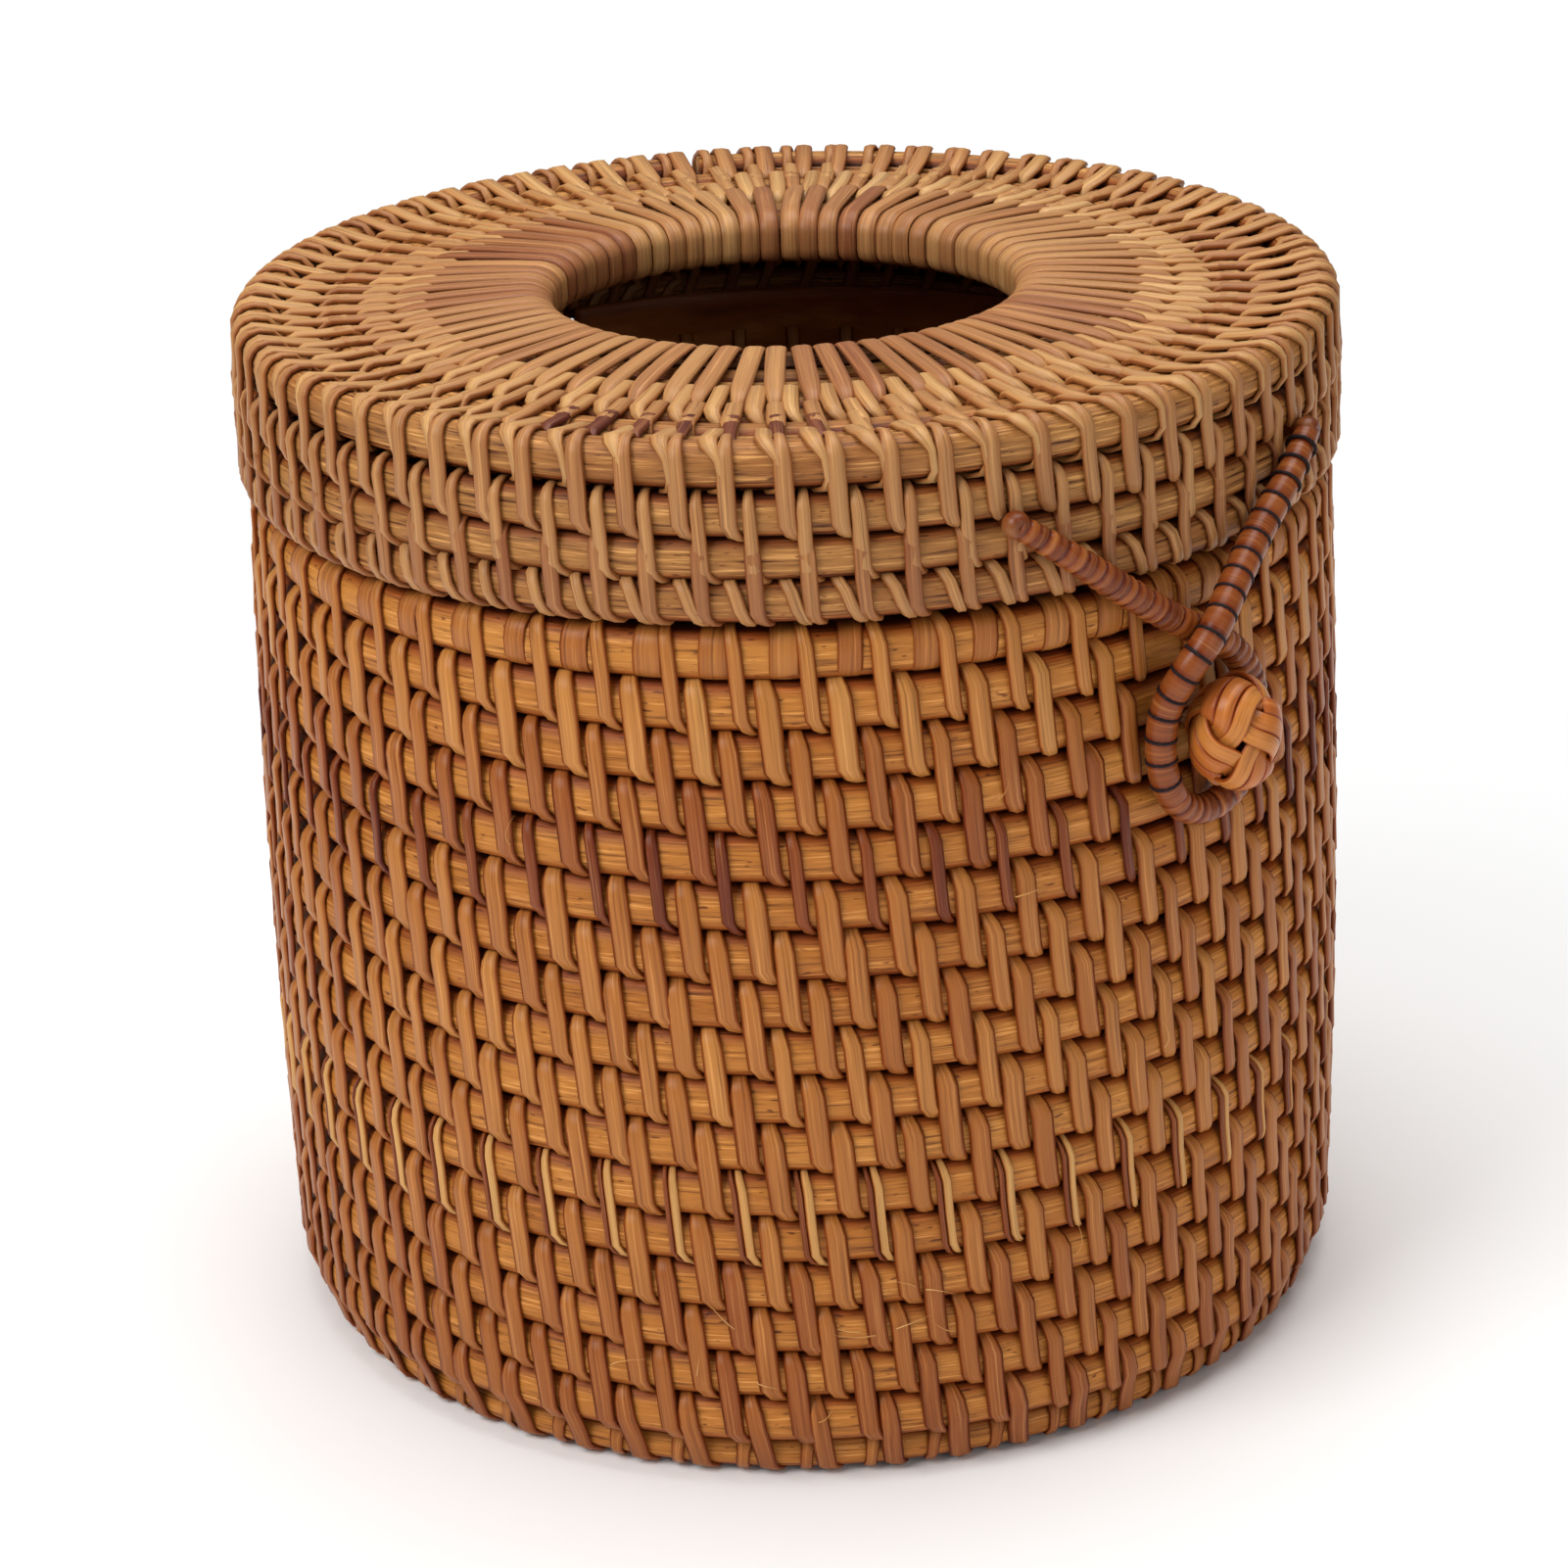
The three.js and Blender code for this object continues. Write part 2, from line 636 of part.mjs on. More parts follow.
// Ends of the loop: a knot inside the skirt, a tail through the seam, and a round head outside.
// The loop swings on the two heads.
const loopAxisHeight = skirtBottomCourseHeight + skirtPitch * 1.5;
const headRadius = cordDiameter / 2;
const loopEndStandOff = skirtRadius + skirtCaneWidth / 2 + headGap + headRadius;
const tailHoleRadius = tailDiameter / 2 + clearance;
const skirtInside = skirtRadius - skirtCaneWidth / 2;

function loopEndProfile() {
  const knotOuter = skirtInside - clearance;
  const knotInner = knotOuter - tailKnotLength;
  const tail = tailDiameter / 2;
  const neck = loopEndStandOff - Math.sqrt(headRadius * headRadius - tail * tail);
  const head = [60, 90, 120, 150].map((degrees) => [
    headRadius * Math.sin(rad(degrees)), loopEndStandOff - headRadius * Math.cos(rad(degrees))]);
  const face = tailKnotFaceDiameter / 2;
  return [[0, knotInner], [face, knotInner], [tailKnotDiameter / 2, (knotInner + knotOuter) / 2],
    [face, knotOuter], [tail, knotOuter], [tail, neck], ...head, [0, loopEndStandOff + headRadius]];
}

const loopEnds = { left: -loopEndAzimuth, right: loopEndAzimuth };
const tailHoles = Object.values(loopEnds).map((azimuth) => drill(azimuth, loopAxisHeight, tailHoleRadius,
  skirtInside - tailKnotLength, loopEndStandOff));

// Route of the loop, as [millimetres round the front, drop from its ends, distance out of the wall].
// The right leg comes down over the left one, round the eye, and up again behind itself.
const loopRoute = [
  [20.4, 4.3, 2.8],
  [12.6, 9.5, 3.1],
  [4.8, 14.7, 4.9],
  [-1.2, 19.4, 6.8],
  [-4.6, 23.9, 5.9],
  [-6.3, 29.1, 3.8],
  [-6.8, 34.7, 3.1],
  [-5.9, 40.3, 3.1],
  [-3.2, 44.5, 3.1],
  [1.4, 46.3, 3.1],
  [6.8, 45, 3.1],
  [10.4, 41, 3.1],
  [11.6, 35.5, 3.1],
  [10.6, 30, 3],
  [7.4, 25.3, 2.8],
  [2.6, 21.7, 2.7],
  [-4, 17.7, 2.7],
  [-12.2, 11.9, 2.8],
  [-20.2, 5.7, 2.8],
];
const loopGauge = claspRadius + cordDiameter / 2;
const loopSteps = 72;

function loopCord() {
  const points = loopRoute.map(([round, drop, out]) => polar(
    THREE.MathUtils.radToDeg(round / loopGauge), claspRadius + out, loopAxisHeight - drop));
  const ends = [loopEnds.right, loopEnds.left];
  const heads = ends.map((azimuth) => polar(azimuth, loopEndStandOff, loopAxisHeight));
  const reach = headRadius + clearance;
  const first = heads[0].clone().add(points[0].clone().sub(heads[0]).setLength(reach));
  const last = heads[1].clone().add(points.at(-1).clone().sub(heads[1]).setLength(reach));
  const route = new THREE.CatmullRomCurve3([first, ...points, last], false, 'centripetal');
  const section = new THREE.Shape().absarc(0, 0, headRadius, 0, 2 * Math.PI);
  return new THREE.ExtrudeGeometry(section, { extrudePath: route, steps: loopSteps, curveSegments: 4 });
}

// Materials: peeled rattan cane, its glossy peel, the darker cord, and the strips of the knob.
function rattan(color, roughness) {
  return new THREE.MeshStandardMaterial({ color, roughness, metalness: 0 });
}

const cane = rattan('#c8914f', 0.65);
const hiddenCane = rattan('#b98248', 0.75);
const collarPeel = rattan('#c08a50', 0.5);
const cordWrap = rattan('#9a5a2c', 0.45);
const knobStrip = rattan('#bd7434', 0.35);
const bandPeel = rattan('#a9713b', 0.5);

const tissueBox = new THREE.Group();
const body = new THREE.Group();
const lid = new THREE.Group();
const clasp = new THREE.Group();
tissueBox.add(body, lid, clasp);

function piece(group, name, geometry, material) {
  const mesh = new THREE.Mesh(geometry, material);
  mesh.name = name;
  group.add(mesh);
  return mesh;
}

const startKnotHeight = baseCaneHeight - footFlat;
const startKnot = new THREE.CylinderGeometry(startKnotRadius, startKnotRadius, startKnotHeight, turnedSides);
startKnot.rotateX(Math.PI / 2);
startKnot.translate(0, 0, startKnotHeight / 2);
piece(body, 'base_start_knot', startKnot, hiddenCane);
piece(body, 'base_cane', baseSpiral(), cane);
piece(body, 'wall_cane_lower', lowerWall, cane);
piece(body, 'wall_cane_middle', middleWall, cane);
piece(body, 'wall_cane_upper', cut(upperWall, [...wallSeats, stemHole]), cane);
piece(body, 'rim_lip', rimLip(), bandPeel);
piece(body, 'knob_stem', turnedOutwards(stemProfile, knobAzimuth, knobHeightInWall), knobStrip);
piece(body, 'knob_stem_knot', turnedOutwards(stemKnotProfile, knobAzimuth, knobHeightInWall), knobStrip);
piece(body, 'knob_core', knobCore(), knobStrip);
const knobStripRun = weave();
piece(body, 'knob_weave', knobStripRun, knobStrip);

const skirt = coil(-taperSteps, skirtEndStep + taperSteps, skirtPlace);
piece(lid, 'lid_skirt_cane', cut(skirt, [...skirtSeats, ...tailHoles]), cane);
piece(lid, 'lid_corner_cane', ring(cornerRadius, cornerCourseHeight,
  caneSection(cornerCaneWidth, cornerCaneHeight)), cane);
const topCane = coil(-taperSteps, topEndStep + taperSteps,
  flatPlace(topInnerRadius, topCourses, topCaneCourseHeight));
piece(lid, 'lid_top_cane', topCane, cane);
const foundationEndStep = (foundationCourses - 1) * stepsPerCourse + levelSteps;
const foundationInnerRadius = foundationOuterRadius - (foundationCourses - 1) * topPitch;
piece(lid, 'collar_cane', coil(-taperSteps, foundationEndStep + taperSteps,
  flatPlace(foundationInnerRadius, foundationCourses, topCaneCourseHeight)), hiddenCane);
const hoopSection = caneSection(hoopCaneWidth, hoopCaneHeight);
piece(lid, 'collar_hoop_upper', ring(hoopRadius, upperHoopHeight, hoopSection), hiddenCane);
piece(lid, 'collar_hoop_lower', ring(hoopRadius, lowerHoopHeight, hoopSection), hiddenCane);
piece(lid, 'collar_wrap', collarWrap(), collarPeel);
piece(lid, 'hinge_ring_left', hingeRing(-hingeOffset), bandPeel);
piece(lid, 'hinge_ring_right', hingeRing(hingeOffset), bandPeel);
for (const [side, azimuth] of Object.entries(loopEnds)) {
  piece(lid, `loop_end_${side}`, turnedOutwards(loopEndProfile(), azimuth, loopAxisHeight), cordWrap);
}
piece(clasp, 'loop_cord', loopCord(), cordWrap);

report('lower wall cane', leastGap(lowerWall));
report('middle wall cane', leastGap(middleWall));
report('upper wall cane', leastGap(upperWall));
report('skirt cane', leastGap(skirt));
report('top cane', leastGap(topCane));
report('strip of the knob', leastGap(knobStripRun, weaveSteps / (knobBights * knobLeads), true));

export default tissueBox;
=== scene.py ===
# %% [markdown]
# # A round rattan tissue box with a hinged lid
#
# Coiled basketry is one long cane laid in rounds, with narrow strips of rattan peel sewn over two
# rounds at a time. This lesson builds the box in that order: canes first, then stitches, then the
# collar round the tissue hole, and the clasp last.
# Nearly every piece is long and thin, so one idea carries the whole file. A straight rod is made
# with Blender's spin operator, and it is then laid along its path, as a maker bends a cane.

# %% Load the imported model
import math
import random

import bmesh
import bpy
from mathutils import Matrix, Vector, noise


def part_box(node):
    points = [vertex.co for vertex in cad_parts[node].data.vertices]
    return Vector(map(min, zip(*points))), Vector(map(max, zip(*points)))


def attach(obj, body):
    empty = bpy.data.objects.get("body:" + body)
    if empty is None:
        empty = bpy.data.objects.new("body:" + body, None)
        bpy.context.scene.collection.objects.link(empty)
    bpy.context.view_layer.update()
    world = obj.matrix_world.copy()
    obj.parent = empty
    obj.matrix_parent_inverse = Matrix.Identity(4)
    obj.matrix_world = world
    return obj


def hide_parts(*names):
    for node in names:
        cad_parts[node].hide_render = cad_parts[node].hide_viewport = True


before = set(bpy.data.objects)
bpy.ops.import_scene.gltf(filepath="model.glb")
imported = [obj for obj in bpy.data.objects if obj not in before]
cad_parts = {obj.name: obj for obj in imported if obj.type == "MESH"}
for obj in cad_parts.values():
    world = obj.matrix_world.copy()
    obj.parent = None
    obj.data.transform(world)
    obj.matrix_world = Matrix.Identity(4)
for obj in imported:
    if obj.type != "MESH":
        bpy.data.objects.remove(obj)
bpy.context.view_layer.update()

mm = 0.001
chance = random.Random(18)


def jitter(most):
    """A small random step either way, for what a hand never repeats."""
    return chance.uniform(-most, most)


def polar(azimuth, radius, height):
    """A point at an azimuth in degrees from the front, growing towards +X."""
    angle = math.radians(azimuth)
    return Vector((radius * math.sin(angle), -radius * math.cos(angle), height))


def new_object(name, data):
    """An object in the scene, made from its data."""
    made = bpy.data.objects.new(name, data)
    bpy.context.scene.collection.objects.link(made)
    return made


# %% [markdown]
# ## Camera
# The photograph looks down on the box from about 22 degrees, with the clasp turned to the right.
# Its place came from the ellipses of the foot, the rim and the tissue hole: the nearer a camera
# stands, the more those ellipses differ, so three of them give its distance as well as its tilt.

# %% Place the camera
image_side = 1601
camera_azimuth = -40.6
camera_away = 600.9 * mm
camera_height = 319.7 * mm
camera_pitch = 0.3883
camera_yaw = -0.0042
camera_roll = -0.0356
focal_pixels = 4389.5
sensor_width = 36.0
nearest_seen = 0.01


def place_camera():
    """A camera that looks along +Y, tilted down, and is then turned to its azimuth."""
    forward = Vector((math.sin(camera_yaw) * math.cos(camera_pitch),
                      math.cos(camera_yaw) * math.cos(camera_pitch), -math.sin(camera_pitch)))
    level = forward.cross(Vector((0, 0, 1))).normalized()
    upright = level.cross(forward)
    right = math.cos(camera_roll) * level + math.sin(camera_roll) * upright
    up = math.cos(camera_roll) * upright - math.sin(camera_roll) * level
    axes = Matrix((right, up, -forward)).transposed()
    turned = Matrix.Rotation(math.radians(camera_azimuth), 3, "Z") @ axes
    data = bpy.data.cameras.new("camera")
    data.sensor_width = sensor_width
    data.lens = focal_pixels * sensor_width / image_side
    data.clip_start = nearest_seen
    camera = new_object("camera", data)
    place = polar(camera_azimuth, camera_away, camera_height)
    camera.matrix_world = Matrix.Translation(place) @ turned.to_4x4()
    bpy.context.scene.camera = camera
    return camera


camera = place_camera()
print("lens", round(camera.data.lens, 1), "mm, at", [round(v, 3) for v in camera.location])

# %% [markdown]
# ## Colours and nodes
# Colours are written as sRGB hex codes, as a picker shows them, but Blender mixes light in linear
# values, so one function turns the one into the other. A second adds any node: what it gets for a
# socket is either another node's output, which it links, or a value, which it sets.

# %% Helpers for materials
def colour(code):
    """A colour written as sRGB hex, as the linear colour that Blender works with."""
    channels = [int(code[i:i + 2], 16) / 255 for i in (1, 3, 5)]
    linear = [c / 12.92 if c <= 0.04045 else ((c + 0.055) / 1.055) ** 2.4 for c in channels]
    return (*linear, 1.0)


def set_sockets(tree, node, sockets):
    """Links the sockets that get another node's output, and sets the rest. Colours are hex codes."""
    for name, value in sockets.items():
        if isinstance(value, bpy.types.NodeSocket):
            tree.links.new(value, node.inputs[name])
        else:
            node.inputs[name].default_value = colour(value) if isinstance(value, str) else value


def add_node(tree, kind, sockets=None, stops=(), **properties):
    """Adds a node with its properties and sockets, and a ramp's stops as (position, hex) pairs."""
    node = tree.nodes.new(kind)
    for name, value in properties.items():
        setattr(node, name, value)
    set_sockets(tree, node, sockets or {})
    for _ in stops[2:]:
        node.color_ramp.elements.new(0.5)
    for index, (position, code) in enumerate(stops):
        node.color_ramp.elements[index].position = position
        node.color_ramp.elements[index].color = colour(code)
    return node


def new_material(name):
    """A new material, its node tree and its surface shader."""
    material = bpy.data.materials.new(name)
    material.use_nodes = True
    return material, material.node_tree, material.node_tree.nodes["Principled BSDF"]


print("straw is", [round(channel, 3) for channel in colour("#DDB987")[:3]], "in linear values")

# %% [markdown]
# ## Light
# The photograph has soft studio light, brightest from above and a little from the left. Large area
# lamps give soft shadows between the stitches, where small ones would cut them hard. The white round
# the box comes from the world where the camera sees it, and not from more light on the cane.

# %% Light the stage
# Each lamp's name, power in watts, width, azimuth from the camera's, distance and height.
lamps = (("key", 7.5, 0.6, -50, 0.75, 0.8), ("top", 10.5, 0.9, 150, 0.2, 1.15),
         ("fill", 2.2, 0.8, 35, 1.1, 0.4))
lamp_aim = Vector((0, 0, 80 * mm))
sky_strength = 0.2
bpy.context.scene.view_settings.view_transform = "Standard"


def hang_lamps():
    for name, power, width, azimuth, distance, height in lamps:
        data = bpy.data.lights.new(name, "AREA")
        data.energy = power
        data.size = width
        light = new_object(name, data)
        light.location = polar(camera_azimuth + azimuth, distance, height)
        light.rotation_euler = (lamp_aim - light.location).to_track_quat("-Z", "Y").to_euler()


def light_sky():
    world = bpy.data.worlds.new("studio")
    bpy.context.scene.world = world
    world.use_nodes = True
    tree = world.node_tree
    tree.nodes.clear()
    rays = add_node(tree, "ShaderNodeLightPath")
    plain, white = (add_node(tree, "ShaderNodeBackground", {"Color": "#FFFFFF", "Strength": strength})
                    for strength in (sky_strength, 1.0))
    mix = add_node(tree, "ShaderNodeMixShader", {0: rays.outputs["Is Camera Ray"], 1: plain.outputs[0],
                                                 2: white.outputs[0]})
    add_node(tree, "ShaderNodeOutputWorld", {"Surface": mix.outputs[0]})


hang_lamps()
light_sky()
print(len(lamps), "lamps and a white world")

# %% [markdown]
# ## Floor
# The box stands on a sheet of paper that runs out of sight. Near the box it has to show the soft
# shadow, and further out it has to be as white as the world, so one fades into the other.

# %% Lay the floor
floor_half = 6.0
fade_from = 70 * mm
fade_to = 260 * mm


def white_paper():
    """Matt white paper: no gloss, and plain white to the camera away from the box."""
    material, tree, shader = new_material("matt white paper")
    set_sockets(tree, shader, {"Base Color": "#FCFBFA", "Roughness": 0.9, "Specular IOR Level": 0.1})
    place = add_node(tree, "ShaderNodeTexCoord")
    away = add_node(tree, "ShaderNodeVectorMath", {0: place.outputs["Object"]}, operation="LENGTH")
    fade = add_node(tree, "ShaderNodeMapRange", {"Value": away.outputs["Value"], "From Min": fade_from,
                                                 "From Max": fade_to}, interpolation_type="SMOOTHSTEP")
    rays = add_node(tree, "ShaderNodeLightPath")
    share = add_node(tree, "ShaderNodeMath", {0: fade.outputs[0], 1: rays.outputs["Is Camera Ray"]},
                     operation="MULTIPLY")
    white = add_node(tree, "ShaderNodeEmission", {"Color": "#FFFFFF", "Strength": 1.0})
    mix = add_node(tree, "ShaderNodeMixShader", {0: share.outputs[0], 1: shader.outputs[0],
                                                 2: white.outputs[0]})
    set_sockets(tree, tree.nodes["Material Output"], {"Surface": mix.outputs[0]})
    return material


def as_mesh(bm, name):
    """Turns a finished bmesh into a mesh and frees it."""
    mesh = bpy.data.meshes.new(name)
    bm.to_mesh(mesh)
    bm.free()
    return mesh


bm = bmesh.new()
bmesh.ops.create_grid(bm, x_segments=1, y_segments=1, size=floor_half)
floor = new_object("floor", as_mesh(bm, "floor"))
floor.data.materials.append(white_paper())
print("floor,", 2 * floor_half, "m wide")

# %% [markdown]
# ## The rounds of a coil
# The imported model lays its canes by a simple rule, and this lesson has to follow the same one: a
# round runs level for three quarters of a turn, and climbs to the next one in the last quarter, at
# the right rear. Places along a coil are therefore counted in turns. A cane's two ends are cut to a
# long slant, as a maker does, so that they lie against the round beside them without a step.

# %% The rule of every coil
first_azimuth = 150
level_share = 0.75
taper_turns = 1 / 6
thinnest = 0.4 * mm


def climb(turns):
    """How many rounds a coil has climbed after a number of turns."""
    course = math.floor(turns)
    share = max(0.0, (turns - course - level_share) / (1 - level_share))
    return course + share * share * (3 - 2 * share)


def azimuth_of(turns):
    return first_azimuth + 360 * turns


def from_front(azimuth):
    """The same azimuth, between -180 and 180 degrees."""
    return (azimuth + 180) % 360 - 180


def tapered(turns, courses, cane, pitch):
    """How far a coil's middle has moved from its first round, and half its size, which tapers."""
    last = courses - 1
    moved, size = pitch * climb(turns), cane
    if turns < 0:
        size = max(thinnest, cane - pitch * (1 - climb(turns + 1)))
        moved = (size - cane) / 2
    elif turns > last + level_share:
        size = max(thinnest, cane - pitch * (climb(turns) - last))
        moved = pitch * last + (cane - size) / 2
    return moved, size / 2


print("rounds climbed after 0.7, 0.9 and 1 turns:", [round(climb(t), 2) for t in (0.7, 0.9, 1)])

# %% [markdown]
# ## The wall's coil
# The wall is a barrel: widest a third of the way up and drawn in a little at the rim. One function
# gives the radius and the height of its cane at a turn, and half its width and half its height. The
# foot round is cut flat below and set in, and eases out into the next one as it climbs.

# %% The wall's rule
body_courses = 18
rim_height = 123.35 * mm
belly_radius = 76.5 * mm
belly_height = 50 * mm
belly_drop = 1.75 * mm
belly_to_rim = 77 * mm
foot_radius = 73.9 * mm
foot_height = 2.6 * mm
foot_lift = 0.9 * mm
wall_cane = 6.9 * mm
wall_half_wide = 3.25 * mm
course_pitch = (rim_height - foot_height) / (body_courses - 1)
print("widest", round(2 * (belly_radius + wall_half_wide) / mm), "mm, rounds", round(course_pitch / mm, 2),
      "mm apart")


def wall_radius(height):
    share = (height - belly_height) / belly_to_rim
    return belly_radius - belly_drop * share * share


def wall_run(turns):
    """Radius, height, half width and half height of the wall's cane."""
    if turns >= 1:
        moved, half_tall = tapered(turns, body_courses, wall_cane, course_pitch)
        height = foot_height + moved
        return wall_radius(min(height, rim_height)), height, wall_half_wide, half_tall
    if turns < 0:
        tall = max(thinnest, wall_cane - foot_lift - course_pitch * (1 - climb(turns + 1)))
        return foot_radius, foot_lift + tall / 2, wall_half_wide, tall / 2
    level = climb(turns)
    height = foot_height + course_pitch * level
    top = height + wall_cane / 2
    low = height - wall_cane / 2 + (foot_lift + wall_cane / 2 - foot_height) * (1 - level)
    full = wall_radius(foot_height + course_pitch)
    return foot_radius + (full - foot_radius) * level, (top + low) / 2, wall_half_wide, (top - low) / 2


# %% [markdown]
# ## The lid's coils
# The skirt is a coil of three rounds that climbs, as the wall does. The top is one of three rounds
# that lies flat and grows outwards instead, so the same taper works on its width. A single thick
# round makes the corner between them.

# %% The lid's rules
lid_courses = 3
skirt_height = 131.2 * mm
skirt_radius = 76.5 * mm
skirt_half_wide = 2.55 * mm
skirt_cane = 5.2 * mm
skirt_pitch = 5.8 * mm
corner_radius = 75.9 * mm
corner_height = 149.3 * mm
corner_half_wide = 2.8 * mm
corner_half_tall = 3.0 * mm
corner_room = 3.8 * mm
top_height = 148.7 * mm
top_cane = 4.9 * mm
top_pitch = 5.5 * mm
top_half_tall = 2.1 * mm
top_inner_radius = corner_radius - corner_room - top_cane / 2 - (lid_courses - 1) * top_pitch


def skirt_run(turns):
    moved, half_tall = tapered(turns, lid_courses, skirt_cane, skirt_pitch)
    return skirt_radius, skirt_height + moved, skirt_half_wide, half_tall


def flat_run(inner_radius, height, half_tall):
    """The rule of a coil that lies flat and spirals outwards."""
    def run(turns):
        moved, half_wide = tapered(turns, lid_courses, top_cane, top_pitch)
        return inner_radius + moved, height, half_wide, half_tall
    return run


def corner_run(turns):
    return corner_radius, corner_height, corner_half_wide, corner_half_tall


top_run = flat_run(top_inner_radius, top_height, top_half_tall)
for name, run, node in (("wall", wall_run, "wall_cane_upper"), ("skirt", skirt_run, "lid_skirt_cane")):
    radius, height, half_wide, half_tall = run(1.5)

# %% [markdown]
# ## A straight rod, laid along a path
# Spin is known for turning a profile round an axis. With no angle and a step forward it extrudes a
# ring of points into a straight tube instead, with even rings all along. A curve with a bevel would
# do as well, but the rod gets its UV map while it is straight, so that the grain follows it round
# every bend, and its points can be pressed and stained one by one.

# %% Helpers for rods
def straight_rod(stations, sides, spacing=1.0):
    """A tube of radius 1 along X, one unit to a station, open at both ends.

    u of its UV map is the station times the spacing, and v goes once round it."""
    bm = bmesh.new()
    bmesh.ops.create_circle(bm, segments=sides, radius=1, matrix=Matrix.Rotation(math.pi / 2, 4, "Y"))
    bmesh.ops.spin(bm, geom=bm.verts[:] + bm.edges[:], angle=0, steps=stations, axis=(1, 0, 0),
                   cent=(0, 0, 0), dvec=(1, 0, 0))
    bmesh.ops.recalc_face_normals(bm, faces=bm.faces)
    for layer in ("tint", "seam"):
        bm.verts.layers.float.new(layer)
    grain = bm.loops.layers.uv.new("grain")
    for face in bm.faces:
        middle = face.calc_center_median()
        about = math.atan2(middle.z, middle.y)
        for loop in face.loops:
            angle = math.atan2(loop.vert.co.z, loop.vert.co.y)
            if angle - about > math.pi:
                angle -= 2 * math.pi
            if about - angle > math.pi:
                angle += 2 * math.pi
            loop[grain].uv = (loop.vert.co.x * spacing, angle / (2 * math.pi))
    return bm


squareness = 2.5


def squared(share):
    """Turns a sine or cosine of a round section into that of a squarer one."""
    return math.copysign(abs(share) ** (2 / squareness), share)


def close_ends(bm):
    open_edges = [edge for edge in bm.edges if edge.is_boundary]
    bmesh.ops.holes_fill(bm, edges=open_edges, sides=0)


def finish_piece(bm, name, material, body, slot, *replaced):
    """Makes the bmesh an object that rides on a body, and stands for the CAD nodes named last."""
    bmesh.ops.recalc_face_normals(bm, faces=bm.faces)
    mesh = as_mesh(bm, name)
    mesh.shade_smooth()
    mesh.materials.append(material)
    piece = new_object(name, mesh)
    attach(piece, body)
    if replaced:
        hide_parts(*replaced)
    triangles = sum(len(face.vertices) - 2 for face in mesh.polygons)
    print(name, "on", body, triangles, "triangles")


print("squared, a sine of 0.5 becomes", round(squared(0.5), 2))

# %% [markdown]
# ## Rattan
# Rattan core is the inside of the vine, drawn through a die. It is open grained: fine pale and
# brown streaks a fifth of a millimetre wide run along it, with short dark pores. The peel is the
# hard outer skin, planed to a strip. It is smoother and a little glossy, with faint lines, and its
# colour changes from strip to strip, from straw to red brown, so each stitch carries a tint.
# Both read the rod's own UV map, in which u is metres along the cane and v goes once round it. Noise
# that is stretched along u gives the streaks, which an image could give too, but only in one length.

# %% Rattan as layers of streaks
drift_length = 60 * mm
pore_length = 2.2 * mm
pores_round = 40
pore_strength = 0.8
# Share of the pale streaks, which are partly the fibres' paler colour and partly painted glints of light.
pale_and_glint_share = 0.38
grain_depth = 0.15 * mm
# The noise of one strip lies this far from that of a strip with another tint.
strips_apart = 37.0
print("pores", round(pore_length / mm, 1), "mm long, noise drifts in", round(drift_length / mm), "mm")


def rattan(name, tones, roughness=0.42, streak_length=22 * mm, streaks_round=10, relief=0.3,
           mottle=0.25, contrast=0.5, gloss=0.25, pores=False):
    """Rattan with a ramp of tones for its tint, and streaks along it."""
    material, tree, shader = new_material(name)
    uv = add_node(tree, "ShaderNodeUVMap", uv_map="grain")
    tint = add_node(tree, "ShaderNodeAttribute", attribute_name="tint")
    seam = add_node(tree, "ShaderNodeAttribute", attribute_name="seam")
    strip = add_node(tree, "ShaderNodeMath", {0: tint.outputs["Fac"], 1: strips_apart},
                     operation="MULTIPLY")

    def streaks(length, number_round, detail=3.0, offset=0.0):
        drawn = add_node(tree, "ShaderNodeMapping", {"Vector": uv.outputs[0], "Location": (offset, 0, 0),
                                                     "Scale": (1 / length, number_round, 1)})
        return add_node(tree, "ShaderNodeTexNoise", {"Vector": drawn.outputs[0], "W": strip.outputs[0],
                                                     "Scale": 1.0, "Detail": detail, "Roughness": 0.6},
                        noise_dimensions="4D")

    drift = streaks(drift_length, 1.5, detail=2.0)
    tone = add_node(tree, "ShaderNodeMath", {0: drift.outputs["Fac"], 1: mottle, 2: tint.outputs["Fac"]},
                    operation="MULTIPLY_ADD")
    centred = add_node(tree, "ShaderNodeMath", {0: tone.outputs[0], 1: mottle / 2}, operation="SUBTRACT")
    surface = add_node(tree, "ShaderNodeValToRGB", {"Fac": centred.outputs[0]}, tones).outputs[0]
    # Over the tone lie dark streaks, pale ones, and painted shade where a strip meets its neighbours.
    fine = streaks(streak_length, streaks_round)
    layers = [(contrast, fine, "MULTIPLY", [(0.31, "#6E4023"), (0.47, "#FFFFFF"), (0.72, "#FFFFFF")]),
              # The pale streaks are added on top: partly the fibres' paler colour, partly painted glints.
              (contrast * pale_and_glint_share, fine, "ADD", [(0.54, "#000000"), (0.68, "#F2BE76")]),
              # This ramp paints shade into the colour, darkest where a cane or strip lies against its
              # neighbours.
              (1.0, seam, "MULTIPLY", [(0.0, "#FFFFFF"), (0.45, "#CFA07A"), (0.9, "#5C2E16")])]
    if pores:
        specks = streaks(pore_length, pores_round, detail=1.0, offset=9.0)
        layers.append((pore_strength, specks, "MULTIPLY", [(0.66, "#FFFFFF"), (0.74, "#7A4A28")]))
    for strength, pattern, way, stops in layers:
        ramp = add_node(tree, "ShaderNodeValToRGB", {"Fac": pattern.outputs["Fac"]}, stops)
        surface = add_node(tree, "ShaderNodeMix", {0: strength, 6: surface, 7: ramp.outputs[0]},
                           data_type="RGBA", blend_type=way).outputs[2]
    bump = add_node(tree, "ShaderNodeBump", {"Height": fine.outputs["Fac"], "Strength": relief,
                                             "Distance": grain_depth})
    set_sockets(tree, shader, {"Base Color": surface, "Roughness": roughness,
                               "Specular IOR Level": gloss, "Normal": bump.outputs[0]})
    return material


